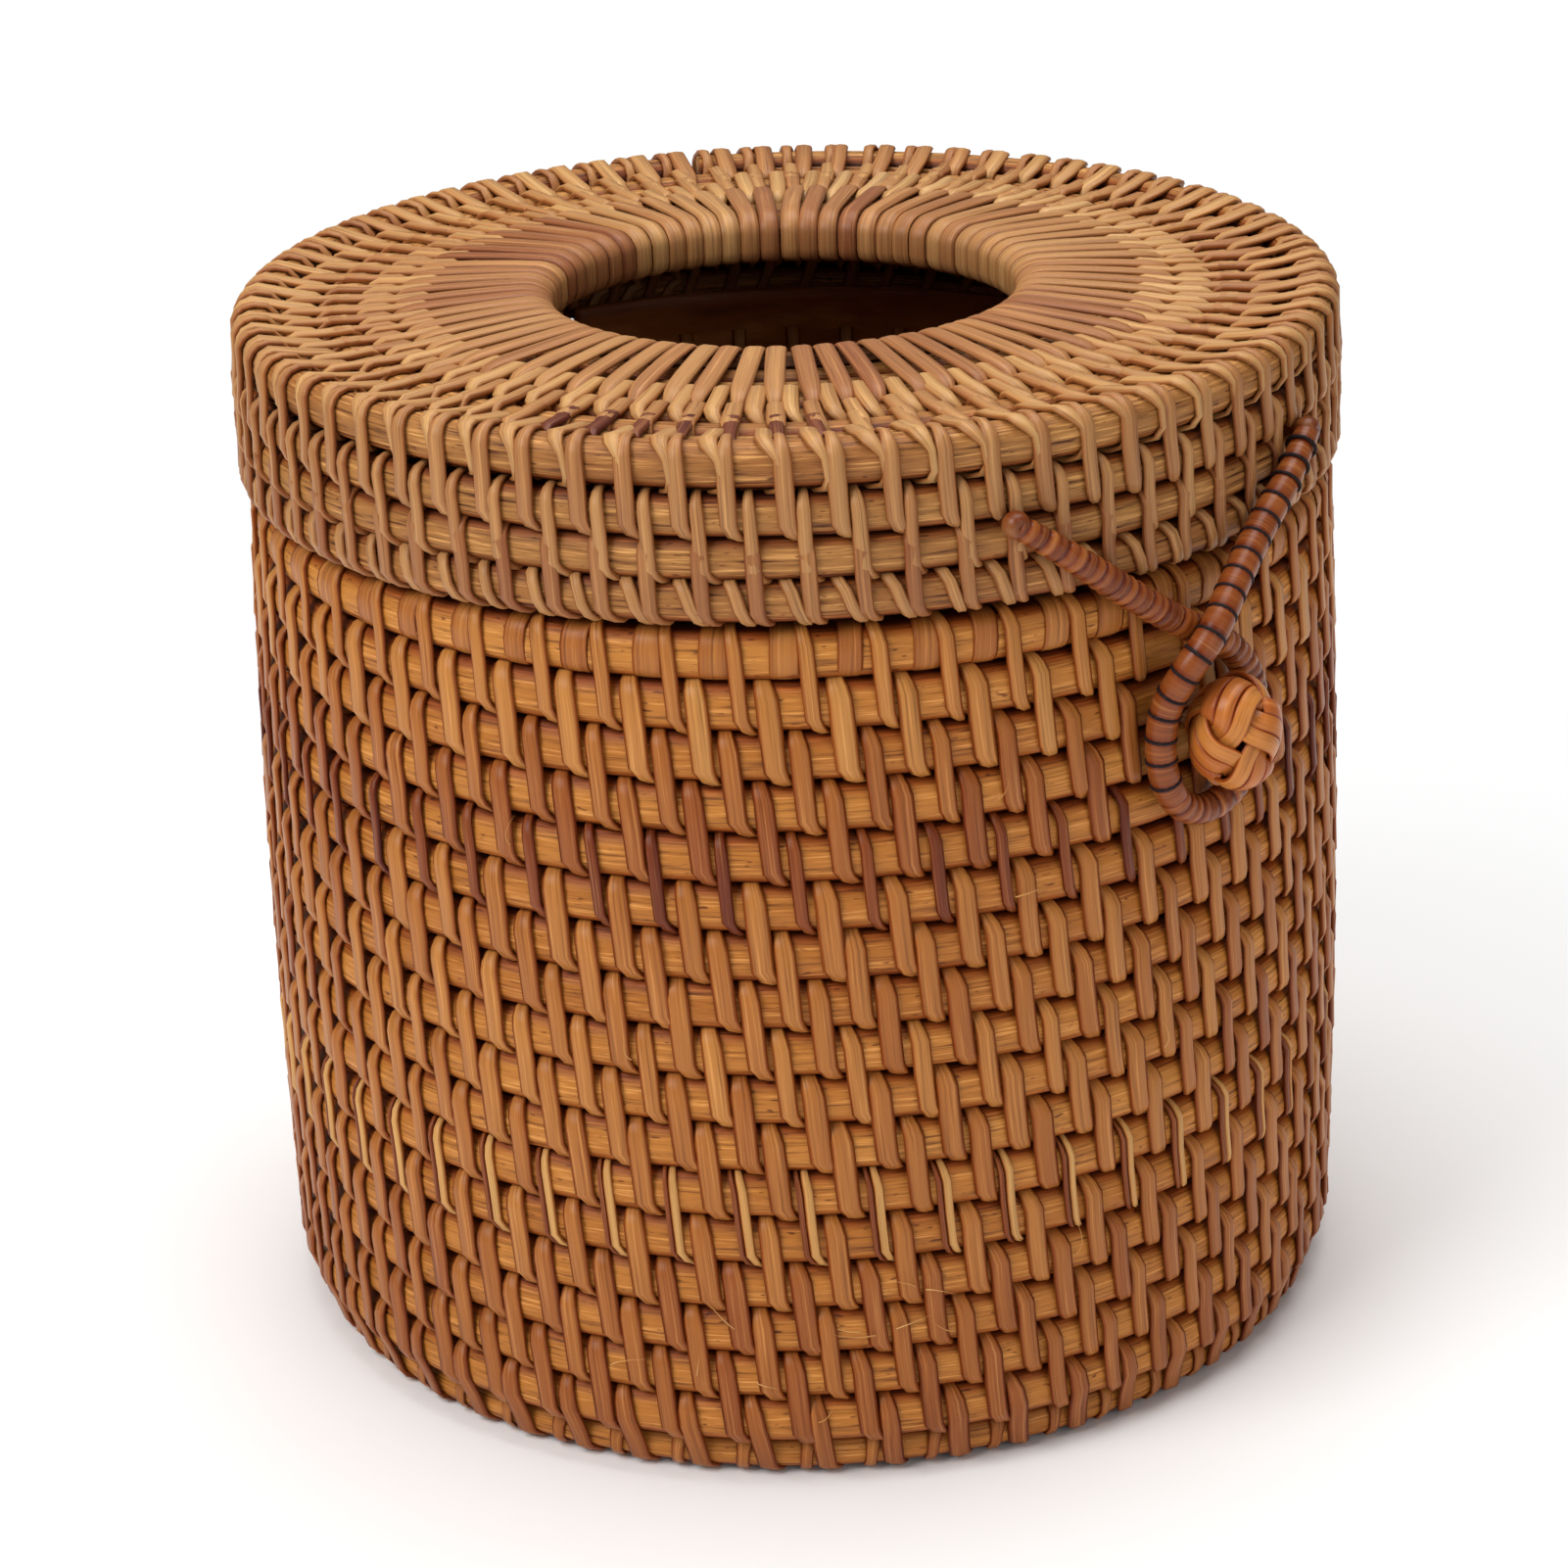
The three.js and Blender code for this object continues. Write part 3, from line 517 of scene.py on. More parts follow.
# %% [markdown]
# Four kinds make up the body and the lid. The lid is of older stock than the body, less red, and its
# canes are thinner and browner. A material that takes the tones and the length of its streaks as
# values saves building four node trees.

# %% Four kinds of rattan
# Sanding the drawn core opens its pores: the eye sees a dry, streaky honey brown with no shine.
core_cane = rattan("rattan core cane, sanded",
                   [(0.0, "#85471A"), (0.3, "#A96422"), (0.6, "#BB7730"), (1.0, "#CA8E45")],
                   roughness=0.5, streak_length=11 * mm, streaks_round=60, relief=0.9, mottle=0.5,
                   contrast=0.75, pores=True)
# Planing keeps the vine's hard skin: smooth, with a soft shine and faint lines.
peel_strip = rattan("rattan peel, planed", [(0.0, "#67290F"), (0.15, "#8A451B"), (0.4, "#A36028"),
                                            (0.7, "#B97A3A"), (1.0, "#D3A362")])
# Years of handling have bleached the ridges and filled the grooves, so the streaks stand out more.
lid_core = rattan("rattan core cane, weathered",
                  [(0.0, "#683617"), (0.3, "#8E5426"), (0.6, "#AC783F"), (1.0, "#C4975C")],
                  roughness=0.55, streak_length=11 * mm, streaks_round=44, relief=0.9, mottle=0.5,
                  contrast=1.0, pores=True)
# Peel from a paler vine: the same skin, from grey straw to a dull brown.
lid_peel = rattan("rattan peel, straw coloured", [(0.0, "#642E1C"), (0.15, "#8A5030"), (0.4, "#A97546"),
                                                  (0.7, "#C3975F"), (1.0, "#DDB987")])
print("materials", ", ".join(made.name for made in (core_cane, peel_strip, lid_core, lid_peel)))

# %% [markdown]
# ## Canes
# Each cane is one rod with a ring of points every few degrees, laid by its coil's rule. A cane is
# never quite round: pulled tight between its neighbours it is a little square, and a little noise
# presses flats into it. On the wall each round leans out over the one below, like a roof tile.
# At the back the two hinge rings are pressed into the rounds that they go round.

# %% Where rings and painted shade go
hinge_offset = 12 * mm
hinge_half_width = 2.3 * mm
# The heights between which a round gives way under a ring, and whether it is pressed down or up.
ring_seats = ((117.3 * mm, 119.7 * mm, min), (134.2 * mm, 136.4 * mm, max))


def beside_hinge(azimuth, radius):
    """Whether a place lies in the path of one of the two hinge rings at the back."""
    place = polar(azimuth, radius, 0)
    return place.y > 0 and abs(abs(place.x) - hinge_offset) < hinge_half_width


def pressed_by_rings(azimuth, radius, height):
    """A point of a cane, pressed clear of the hinge rings where it lies in their path."""
    for low, high, side in ring_seats:
        if low < height < high and beside_hinge(azimuth, radius):
            height = side(low, high)
    return polar(azimuth, radius, height)


def seam_depth(side):
    """How much shade is painted on a point: 0 on the open face of a cane, and up to 1 at the edges that lie
    against its neighbours.
    """
    return max(0.0, 2 * side - 1)


# How far a place on a cane's section lies towards its neighbours.
neighbours = {"above": lambda up, out: abs(up), "beside": lambda up, out: abs(out),
              "corner": lambda up, out: max(0.0, -min(up, out))}
print("ring seats at", [[round(low / mm, 1), round(high / mm, 1)] for low, high, _ in ring_seats], "mm")

# %% [markdown]
# The grain has to run at the same scale on every cane, so the rod's UV map is told how many metres
# lie between two rings. Canes are paler and redder in stretches of about a round, which slow noise
# along the turns gives.

# %% Lay the canes
stations_per_turn = 96
cane_sides = 16
wall_lean = 0.07
wall_fill = 0.09 * mm
lid_fill = 0.28 * mm
flat_depth = 0.05
flats_per_turn = 14
flats_round = 1.3
cane_tone = 0.52
cane_tone_range = 0.3
tones_per_turn = 0.9
tone_row = (4.1, 0.3)


def lay_cane(name, node, run, first, last, side, fill=lid_fill, lean=0.0, body="lid"):
    """A rod laid along a coil from one turn count to another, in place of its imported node.

    fill widens it towards its neighbours until they touch, and lean tilts its outer face upwards."""
    stations = max(2, round((last - first) * stations_per_turn))
    step = (last - first) / stations
    metres_per_turn = 2 * math.pi * run((first + last) / 2)[0]
    bm = straight_rod(stations, cane_sides, step * metres_per_turn)
    tint, seam = (bm.verts.layers.float[layer] for layer in ("tint", "seam"))
    for vert in bm.verts:
        _, up, out = vert.co
        turns = first + vert.co.x * step
        radius, height, half_wide, half_tall = run(turns)
        if side == "above":
            half_tall += fill
        else:
            half_wide += fill
        place = Vector((turns * flats_per_turn, up * flats_round, out * flats_round))
        flats = 1 + flat_depth * noise.noise(place)
        wide, rise = half_wide * squared(out) * flats, half_tall * squared(up) * flats
        vert.co = pressed_by_rings(azimuth_of(turns), radius + wide - lean * rise, height + rise)
        # Painted shade: the cane is darkened towards the neighbours that it lies against.
        vert[seam] = seam_depth(neighbours[side](up, out))
        vert[tint] = cane_tone + cane_tone_range * noise.noise(Vector((turns * tones_per_turn, *tone_row)))
    close_ends(bm)
    finish_piece(bm, name, core_cane if body == "body" else lid_core, body, "cane", node)


splice = 0.2 * mm / belly_radius / (2 * math.pi)
lower_end = 5 + 17 / 24
middle_end = lower_end + 6
cane_taper = 0.23
wall_lengths = (("lower", -cane_taper, lower_end - splice),
                ("middle", lower_end + splice, middle_end - splice),
                ("upper", middle_end + splice, body_courses - 1 + level_share + cane_taper))
for part, first, last in wall_lengths:
    lay_cane(f"{part}_wall_cane", f"wall_cane_{part}", wall_run, first, last, "above", wall_fill,
             wall_lean, "body")
lid_cane_end = lid_courses - 1 + level_share + cane_taper
lay_cane("skirt_cane", "lid_skirt_cane", skirt_run, -cane_taper, lid_cane_end, "above", lean=wall_lean)
lay_cane("top_cane", "lid_top_cane", top_run, -cane_taper, lid_cane_end, "beside")
corner_splice = 0.002
lay_cane("corner_cane", "lid_corner_cane", corner_run, corner_splice, 1 - corner_splice, "corner", fill=0)

# %% [markdown]
# ## Stitches
# A stitch is a strip of peel that goes out over two rounds, back under the lower one, up the
# inside, and out again over the upper one: a flat closed band. There are some 1700 of them, so each
# is a copy of a light template, a rod of six or eight sides and sixteen stations whose ends meet. An
# array of the same object would be lighter still, but here every copy is bent round its own canes.

# %% The path of a stitch
# Where each station of the band lies: 1 on the upper cane, 0 on the lower and 0.5 between them, the
# angle there, the share of the lean, the width and the thickness. Angles go from the outside, 0,
# over the top of the upper cane, 90. The strip is widest on the seam that it covers. It is drawn in
# where it comes out above, and to a point where it goes back in below, pulled to the right.
stitch_path = [(1, 150, -0.12, 0.70, 0.7), (1, 112, -0.08, 0.62, 0.7), (1, 84, 0.00, 0.68, 0.8),
               (1, 60, 0.10, 0.82, 0.95), (1, 35, 0.22, 0.96, 1.0), (1, 12, 0.34, 1.04, 1.0),
               (0.5, 0, 0.47, 1.08, 1.0), (0, -12, 0.61, 1.04, 1.0), (0, -35, 0.79, 0.88, 1.0),
               (0, -58, 1.00, 0.64, 0.95), (0, -80, 1.18, 0.44, 0.9), (0, -110, 1.30, 0.42, 0.8),
               (0, -150, 1.25, 0.65, 0.7), (0, -180, 0.95, 0.85, 0.8), (0.5, 180, 0.5, 0.85, 0.8),
               (1, 180, 0.08, 0.8, 0.8)]
strip_dip = 0.25 * mm
strip_lift = 0.55
bow_end = 1.3


def on_cane(section, direction, lift):
    """The point of a cane's section in a direction of the radius-height plane, lifted off it."""
    radius, height, half_wide, half_tall = section
    out, rise = direction
    dual = squareness / (squareness - 1)
    wide, tall = abs(half_wide * out), abs(half_tall * rise)
    reach = (wide ** dual + tall ** dual) ** (1 / dual)
    return Vector((radius + half_wide * math.copysign((wide / reach) ** (dual - 1), out) + lift * out,
                   height + half_tall * math.copysign((tall / reach) ** (dual - 1), rise) + lift * rise))


def band_stations(upper, lower, azimuth, lean, bow, width, thickness, path=stitch_path):
    """Points, outward directions, widths and thicknesses of a band round two canes' sections."""
    across = Vector((upper[0] - lower[0], upper[1] - lower[1])).normalized()
    outward = Vector((across.y, -across.x))
    if outward.x + outward.y < 0:
        outward = -outward
    found = []
    for above, angle, share, wide, thick in path:
        turn = math.radians(angle)
        direction = outward * math.cos(turn) + across * math.sin(turn)
        lift = thickness * strip_lift
        if above == 0.5 and angle == 0:
            lift -= strip_dip
        spot = on_cane(upper, direction, lift) * above + on_cane(lower, direction, lift) * (1 - above)
        leaned = azimuth + lean * share + bow * math.sin(math.pi * min(1, max(0, share) / bow_end))
        found.append((polar(leaned, spot.x, spot.y),
                      polar(leaned, direction.x, direction.y), width * wide, thickness * thick))
    return found


print("a stitch has", len(stitch_path), "stations")

# %% [markdown]
# The template is bent by moving its points: a station's ring goes to the station's place, turned
# square to the path. A strip is cut with square edges, so the rod's round section is flattened, and
# its edges are painted darker: painted shade for where the strips meet.

# %% Bend a strip
strip_sides = 6
# How much shade is painted on the edges of the body's, the lid's and the collar's strips.
edge_painted_shade = 0.6
lid_edge_painted_shade = 0.42


def strip_template(stations, sides=strip_sides, flatness=0.7, shade_at_edges=edge_painted_shade):
    """A thin band of radius 1, as a mesh to be copied. A lower flatness number gives sharper edges.

    Its last argument is how much shade is painted on its edges."""
    bm = straight_rod(stations, sides)
    seam = bm.verts.layers.float["seam"]
    grain = bm.loops.layers.uv["grain"]
    for face in bm.faces:
        for loop in face.loops:
            loop[grain].uv.y = 0.5 + 0.5 * loop.vert.co.y
    for vert in bm.verts:
        # Painted shade, darkest at the strip's edges, where it meets its neighbours.
        vert[seam] = shade_at_edges * seam_depth(abs(vert.co.y))
        vert.co.y = math.copysign(abs(vert.co.y) ** flatness, vert.co.y)
        vert.co.z = math.copysign(abs(vert.co.z) ** (flatness + 0.3), vert.co.z)
    return as_mesh(bm, "template")


band_template = strip_template(len(stitch_path))
full_template = strip_template(len(stitch_path), 8, shade_at_edges=lid_edge_painted_shade)
print("the body's band has", len(band_template.polygons), "faces, the lid's", len(full_template.polygons))

# %% [markdown]
# A copy of the template is laid along the stations of its path. Its grain starts at another place
# on each copy, so that no two strips show the same streaks.

# %% Lay a band
weld_distance = 0.001 * mm


def add_copy(bm, template):
    """Adds a copy of a template, and returns its points and its faces."""
    first_vert, first_face = len(bm.verts), len(bm.faces)
    bm.from_mesh(template)
    bm.verts.ensure_lookup_table()
    bm.faces.ensure_lookup_table()
    return bm.verts[first_vert:], bm.faces[first_face:]


def lay_band(bm, template, found, tone, roll=0.0, closed=True):
    """Wraps a copy of the template along the stations."""
    verts, faces = add_copy(bm, template)
    tint = bm.verts.layers.float["tint"]
    grain = bm.loops.layers.uv["grain"]
    count = len(found)
    frames, travelled = [], [0.0]
    for index, (point, outward, width, thickness) in enumerate(found):
        ahead = found[(index + 1) % count][0] if closed or index + 1 < count else point
        behind = found[index - 1][0] if closed or index else point
        along = (ahead - behind).normalized()
        side = along.cross(outward).normalized()
        normal = side.cross(along).normalized()
        frames.append((point, side * math.cos(roll) - normal * math.sin(roll),
                       normal * math.cos(roll) + side * math.sin(roll), width / 2, thickness / 2))
        travelled.append(travelled[-1] + (ahead - point).length)
    start = chance.random()
    for vert in verts:
        point, side, normal, wide, thick = frames[round(vert.co.x) % count]
        vert.co = point + side * (vert.co.y * wide) + normal * (vert.co.z * thick)
        vert[tint] = tone
    for face in faces:
        for loop in face.loops:
            loop[grain].uv.x = start + travelled[round(loop[grain].uv.x)]


def close_bands(bm):
    """Joins the first and the last ring of each closed band."""
    bmesh.ops.remove_doubles(bm, verts=bm.verts, dist=weld_distance)


print("ends of a band are joined within", weld_distance / mm, "mm")

# %% [markdown]
# ## Sewing
# Peel comes in lengths of about two metres, which is one round of stitches. So the colour and the
# width of the stitches change once in a while, and hardly from one stitch to the next. Each stitch
# also wanders a little in place, lean, bend, width and roll, as hand work does.

# %% Sew a row
stitch_lean = 2.5
stitch_bow = -0.35
stitch_thickness = 0.85 * mm
stitch_wander = 0.25
lean_wander = 0.3
bow_wander = 0.2
width_wander = 0.08
tone_wander = 0.07
roll_wander = 7
# The two edges of a split strip: shift and width as shares of its width, tone and roll.
split_edges = ((0.2, 0.48, 0.88, -0.3), (-0.2, 0.3, 0.1, 0.2))
print("a stitch leans", stitch_lean, "degrees round the box")


def peel_lengths(count, each, tones, widths):
    """A tone and a width for each of the stitches, which change where a new length of peel begins."""
    made = []
    while len(made) < count:
        tone, width = chance.uniform(*tones), chance.uniform(*widths)
        made += [(tone, width)] * round(each * chance.uniform(0.75, 1.25))
    return made[:count]


def within(tone):
    return min(1, max(0, tone))


def sew(name, runs, rows, peel, body="body", lean=stitch_lean, bow=stitch_bow,
        thickness=stitch_thickness, left_bare=None, split=(0, 0)):
    """One band for each entry of rows, which gives the turns on the upper and on the lower run.

    Between the turns of split the peel has split, and shows a pale edge beside a dark one."""
    upper_run, lower_run = runs
    template, material = (full_template, lid_peel) if body == "lid" else (band_template, peel_strip)
    bm = bmesh.new()
    for (upper_turns, lower_turns), (tone, width) in zip(rows, peel):
        azimuth = azimuth_of(upper_turns) + jitter(stitch_wander)
        upper, lower = upper_run(upper_turns), lower_run(lower_turns)
        if left_bare and left_bare(azimuth, upper[1]):
            continue
        leaning, bowed = lean + jitter(lean_wander), bow + jitter(bow_wander)
        wide = width * (1 + jitter(width_wander))
        tinge = within(tone + jitter(tone_wander))
        roll = math.radians(jitter(roll_wander))
        parts = [(0, wide, tinge, roll)]
        if split[0] < upper_turns < split[1]:
            parts = [(math.degrees(apart * wide / upper[0]), share * wide, edge_tone, roll + edge_roll)
                     for apart, share, edge_tone, edge_roll in split_edges]
        for shift, part_width, part_tone, part_roll in parts:
            found = band_stations(upper, lower, azimuth + shift, leaning, bowed, part_width, thickness)
            lay_band(bm, template, found, part_tone, part_roll)
    close_bands(bm)
    finish_piece(bm, name, material, body, "peel")


# %% [markdown]
# ## The wall's stitches
# The stitches of one round start just right of those of the round above and lean a little to the
# right, which makes the slanting pairs of the photograph. That follows by itself from one step
# between stitches that doesn't quite divide a turn. Some places stay bare: beside the knob's stem,
# under the hinge rings, and where the lid folds back against the wall.

# %% Sew the wall
stitch_step = 6.738 / 360
row_shift = 7.5 / 24
wall_end = body_courses - 1 + level_share + taper_turns
wall_peel_stitches = 52
split_round = (6.2, 7.1)
folded_lid_half_width = 3.5 * mm
rings_reach_down_to = 112 * mm
stem_azimuths = (-5.5, 0.5)
stem_heights = (100 * mm, 122 * mm)


def bare_on_wall(azimuth, height):
    """Whether a stitch is left out by the knob's stem, by the hinge rings or behind the open lid."""
    under_lid = abs(from_front(azimuth)) > 90 and (
        abs(polar(azimuth, belly_radius, 0).x) < folded_lid_half_width)
    at_back = height > rings_reach_down_to and (under_lid or beside_hinge(azimuth, belly_radius))
    by_stem = (stem_azimuths[0] < from_front(azimuth) < stem_azimuths[1]
               and stem_heights[0] < height < stem_heights[1])
    return at_back or by_stem


def spaced(first, last, gap):
    """Places from the first to before the last, a gap apart."""
    places = []
    while first < last:
        places.append(first)
        first += gap
    return places


wall_rows = [(turns, turns - 1) for turns in spaced(1.02, wall_end - 0.02, stitch_step)]
wall_peel = peel_lengths(len(wall_rows), wall_peel_stitches, (0.22, 0.6), (2.5 * mm, 3.1 * mm))
# Tone and width of the top rows' peel, whose lengths happened to end near the same side.
top_rows = {1: (0.56, 2.2 * mm), 2: (0.68, 3.0 * mm), 3: (0.38, 2.6 * mm), 4: (0.28, 2.8 * mm),
            5: (0.08, 1.7 * mm), 6: (0.5, 3.0 * mm)}
for index, (upper_turns, _) in enumerate(wall_rows):
    row_from_top = body_courses - math.floor(upper_turns + row_shift)
    wall_peel[index] = top_rows.get(row_from_top, wall_peel[index])

thirds = (0, lower_end + 0.5, middle_end + 0.5, wall_end)
for part, low, high in zip(("lower", "middle", "upper"), thirds, thirds[1:]):
    chosen = [i for i, (upper_turns, _) in enumerate(wall_rows) if low <= upper_turns < high]
    sew(f"{part}_wall_stitches", (wall_run, wall_run), [wall_rows[i] for i in chosen],
        [wall_peel[i] for i in chosen], left_bare=bare_on_wall, split=split_round)

# %% [markdown]
# ## The lid's stitches
# The lid is sewn in the same way, with finer stitches, 72 to a round. Its rows follow each other
# from the collar outwards, over the corner and down the skirt, each a little right of the one
# before. The four sets differ only in their canes, peel, lean and bend, so one table holds them.

# %% Sew the lid
lid_stitches = 72
lid_peel_stitches = 60
lid_row_shift = 2.0
lid_lean = 1.3
skirt_lean = 1.75
lid_end = lid_courses - 1 + level_share + taper_turns
dark_stitch = (0.0, 2.0 * mm)
dark_azimuths = (-68, -36)


def outermost(turns):
    """Turns on a coil of three rounds for its last round at the same azimuth."""
    share = turns - math.floor(turns)
    return (1 if share > level_share + taper_turns else 2) + share


def lid_row(row, first=0.0, last=1.0):
    """Turn counts of one row of stitches, each row a little right of the row before it."""
    shift = row * lid_row_shift / 360
    return [first + (i + 0.5) / lid_stitches + shift
            for i in range(round((last - first) * lid_stitches))]


def stained(outer_turns):
    """Whether a stitch of the top's last row lies in the dark stretch at the left front."""
    return outer_turns > 2 and (
        dark_azimuths[0] < from_front(azimuth_of(outer_turns)) < dark_azimuths[1])


def bare_on_skirt(azimuth, height):
    """Whether a stitch is left out under the hinge rings."""
    return beside_hinge(azimuth, skirt_radius)


flat_rows = [(turns, turns + 1) for turns in lid_row(0, -taper_turns, lid_end - 1)]
edge_rows = [(outermost(turns), turns) for turns in lid_row(2)]
corner_rows = [(turns, outermost(turns)) for turns in lid_row(3)]
skirt_rows = [(turns + 1, turns) for turns in lid_row(4, -taper_turns, lid_end - 1)]
# Name, upper and lower run, rows, ranges of tones and widths, lean, bow, thickness, what stays bare.
lid_sewing = (
    ("top_stitches", (top_run, top_run), flat_rows, (0.35, 0.62), (2.1, 2.4), lid_lean, -0.4, 1.15, None),
    ("edge_stitches", (top_run, corner_run), edge_rows, (0.36, 0.6), (2.5, 2.8), lid_lean, -0.6, 1.0,
     None),
    ("corner_stitches", (corner_run, skirt_run), corner_rows, (0.3, 0.52), (2.2, 2.5), skirt_lean,
     -0.6, 1.0, None),
    ("skirt_stitches", (skirt_run, skirt_run), skirt_rows, (0.24, 0.46), (1.85, 2.15), skirt_lean,
     -0.6, 1.0, bare_on_skirt))
for name, runs, rows, tones, (narrow, wide), lean, bow, thick, left_bare in lid_sewing:
    peel = peel_lengths(len(rows), lid_peel_stitches, tones, (narrow * mm, wide * mm))
    if rows is flat_rows:
        peel = [dark_stitch if stained(outer) else same for (_, outer), same in zip(rows, peel)]
    sew(name, runs, rows, peel, "lid", lean, bow, thick * mm, left_bare)

# %% [markdown]
# ## Short strips along the lid's edge
# The lid's lowest round has a short slanted strip between every two long stitches, which hides the
# cane. It goes round one cane only, so its path has no part on a lower one. Behind the open lid
# there is no room for them, and they are left out.

# %% Wrap the lid's edge
edge_path = [(1, 160, -0.2, 0.85, 0.8), (1, 125, -0.1, 0.9, 0.8), (1, 90, 0.0, 0.95, 0.9),
             (1, 55, 0.15, 1.0, 1.0), (1, 25, 0.35, 1.0, 1.0), (1, -5, 0.58, 1.0, 1.0),
             (1, -35, 0.8, 0.95, 1.0), (1, -65, 1.0, 0.85, 0.9), (1, -95, 1.15, 0.75, 0.8),
             (1, -125, 1.15, 0.8, 0.8), (1, -160, 0.8, 0.85, 0.8), (1, -195, 0.2, 0.85, 0.8)]
edge_wrap_lean = 2.3
edge_wrap_width = 1.9 * mm
edge_wrap_thickness = 1.0 * mm
edge_wrap_row = 5.3
edge_wrap_wander = 0.3
edge_wrap_lean_wander = 0.4
edge_wrap_widths = (0.85, 1.1)


def round_below(section, cane):
    """The section of a round just below another, which gives a band its upright."""
    radius, height, half_wide, half_tall = section
    return radius, height - cane, half_wide, half_tall


def between_hinges(azimuth, radius):
    """Whether a place lies between the outer sides of the two rings, where the open lid meets the wall."""
    place = polar(azimuth, radius, 0)
    return place.y > 0 and abs(place.x) < hinge_offset + hinge_half_width


def wrap_lid_edge():
    template = strip_template(len(edge_path), shade_at_edges=lid_edge_painted_shade)
    bm = bmesh.new()
    peel = peel_lengths(lid_stitches, lid_peel_stitches, (0.38, 0.6), (1.85 * mm, 2.15 * mm))
    for turns, (tone, _) in zip(lid_row(edge_wrap_row), peel):
        azimuth = azimuth_of(turns) + jitter(edge_wrap_wander)
        if between_hinges(azimuth + 1, skirt_radius):
            continue
        section = skirt_run(turns if turns < 1 else turns - 1)
        lean = edge_wrap_lean + jitter(edge_wrap_lean_wander)
        width = edge_wrap_width * chance.uniform(*edge_wrap_widths)
        lay_band(bm, template, band_stations(section, round_below(section, skirt_cane), azimuth, lean, 0,
                                             width, edge_wrap_thickness, edge_path), tone)
    close_bands(bm)
    finish_piece(bm, "lid_edge_strips", lid_peel, "lid", "peel")


wrap_lid_edge()

# %% [markdown]
# ## Rim strips
# Between the stitches of the rim lie wide flat strips. They go round the rim's own round and no
# further, which stiffens the edge where the lid comes down on it.

# %% Wrap the rim
rim_path = [(1, angle, 0.5 + angle / 720, 1.0, 1.0) for angle in range(165, -180, -23)]
rim_wrap_lean = 1.2
rim_wrap_width = 4.0 * mm
rim_wrap_thickness = 0.22 * mm
rim_wrap_shift = -2.3
least_wrapped = 2.0 * mm
rim_wrap_wander = 0.5
rim_wrap_widths = (0.8, 1.1)
rim_wrap_tones = (0.42, 0.62)


def wrap_rim():
    template = strip_template(len(rim_path), 8, shade_at_edges=lid_edge_painted_shade)
    bm = bmesh.new()
    for turns in [upper for upper, _ in wall_rows if upper > body_courses - 1 - row_shift]:
        azimuth = azimuth_of(turns) + rim_wrap_shift + jitter(rim_wrap_wander)
        section = wall_run(turns + rim_wrap_shift / 360)
        if bare_on_wall(azimuth, rim_height) or section[3] < least_wrapped:
            continue
        width = rim_wrap_width * chance.uniform(*rim_wrap_widths)
        found = band_stations(section, round_below(section, wall_cane), azimuth, rim_wrap_lean, 0,
                              width, rim_wrap_thickness, rim_path)
        lay_band(bm, template, found, chance.uniform(*rim_wrap_tones))
    close_bands(bm)
    finish_piece(bm, "rim_strips", peel_strip, "body", "peel")


wrap_rim()

# %% [markdown]
# ## Lip inside the rim
# A flat splint stands inside the rim and keeps the lid in place. Through the tissue hole it shows
# as a paler line in the dark. It leaves room for the hinge rings, so a short length stands between
# them. A box with a bevel would do for a straight one, but a bent rod follows the rim.

# %% Bend the lip
lip_low, lip_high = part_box("rim_lip")
lip_radius = lip_high.x - 0.6 * mm
lip_half_thick = 0.5 * mm
lip_half_tall = (lip_high.z - lip_low.z) / 2
lip_last_azimuth = 168
lip_middle_azimuth = 172.3
lip_step = 2 * lip_last_azimuth / 220
lip_tone = 0.3


def bend_lip(name, first, last, *replaced):
    """A flat rod bent along the inside of the rim, with its corners rounded by a squarer section."""
    steps = round((last - first) / lip_step)
    step = (last - first) / steps
    bm = straight_rod(steps, 12, math.radians(step) * lip_radius)
    tint = bm.verts.layers.float["tint"]
    for vert in bm.verts:
        out, rise = squared(squared(vert.co.z)), squared(squared(vert.co.y))
        vert.co = polar(first + vert.co.x * step, lip_radius + lip_half_thick * out,
                        (lip_high.z + lip_low.z) / 2 + lip_half_tall * rise)
        vert[tint] = lip_tone
    close_ends(bm)
    finish_piece(bm, name, peel_strip, "body", "peel", *replaced)


bend_lip("rim_lip_splint", -lip_last_azimuth, lip_last_azimuth, "rim_lip")
bend_lip("rim_lip_middle", lip_middle_azimuth, 360 - lip_middle_azimuth)

# %% [markdown]
# The splint is tied to the rim's round with short upright turns of peel. Only their lower half
# shows, so each is a flat ring round the lower half of the splint.

# %% Tie the lip
tie_every = 7.2
tie_width = 2.2 * mm
tie_thickness = 0.4 * mm
tie_half_tall = 3.6 * mm
tie_middle = lip_low.z + 3.2 * mm
tie_half_thick = lip_half_thick + 0.35 * mm
tie_tones = (0.4, 0.7)
# The sides and corners of a tie, as directions out from the splint and up.
tie_path = ((0, -1), (-1, -1), (-1, 0), (-1, 1), (0, 1), (1, 1), (1, 0), (1, -1))


def tie_lip():
    bm = bmesh.new()
    template = strip_template(len(tie_path))
    for azimuth in spaced(4 - lip_last_azimuth, lip_last_azimuth - 3, tie_every):
        found = [(polar(azimuth, lip_radius + tie_half_thick * out, tie_middle + tie_half_tall * up),
                  polar(azimuth, out, up), tie_width, tie_thickness) for out, up in tie_path]
        lay_band(bm, template, found, chance.uniform(*tie_tones))
    close_bands(bm)
    finish_piece(bm, "rim_lip_ties", peel_strip, "body", "peel")


tie_lip()

# %% [markdown]
# ## Base
# Underneath, the base is a flat spiral that starts round a knot. Radial stitches bind each round to
# the one inside it, and every round has more of them than the last, so that they stay a hand's
# usual distance apart. The last row joins the base to the wall, and comes out between the long
# stitches of the foot round. The base keeps just clear of the table.

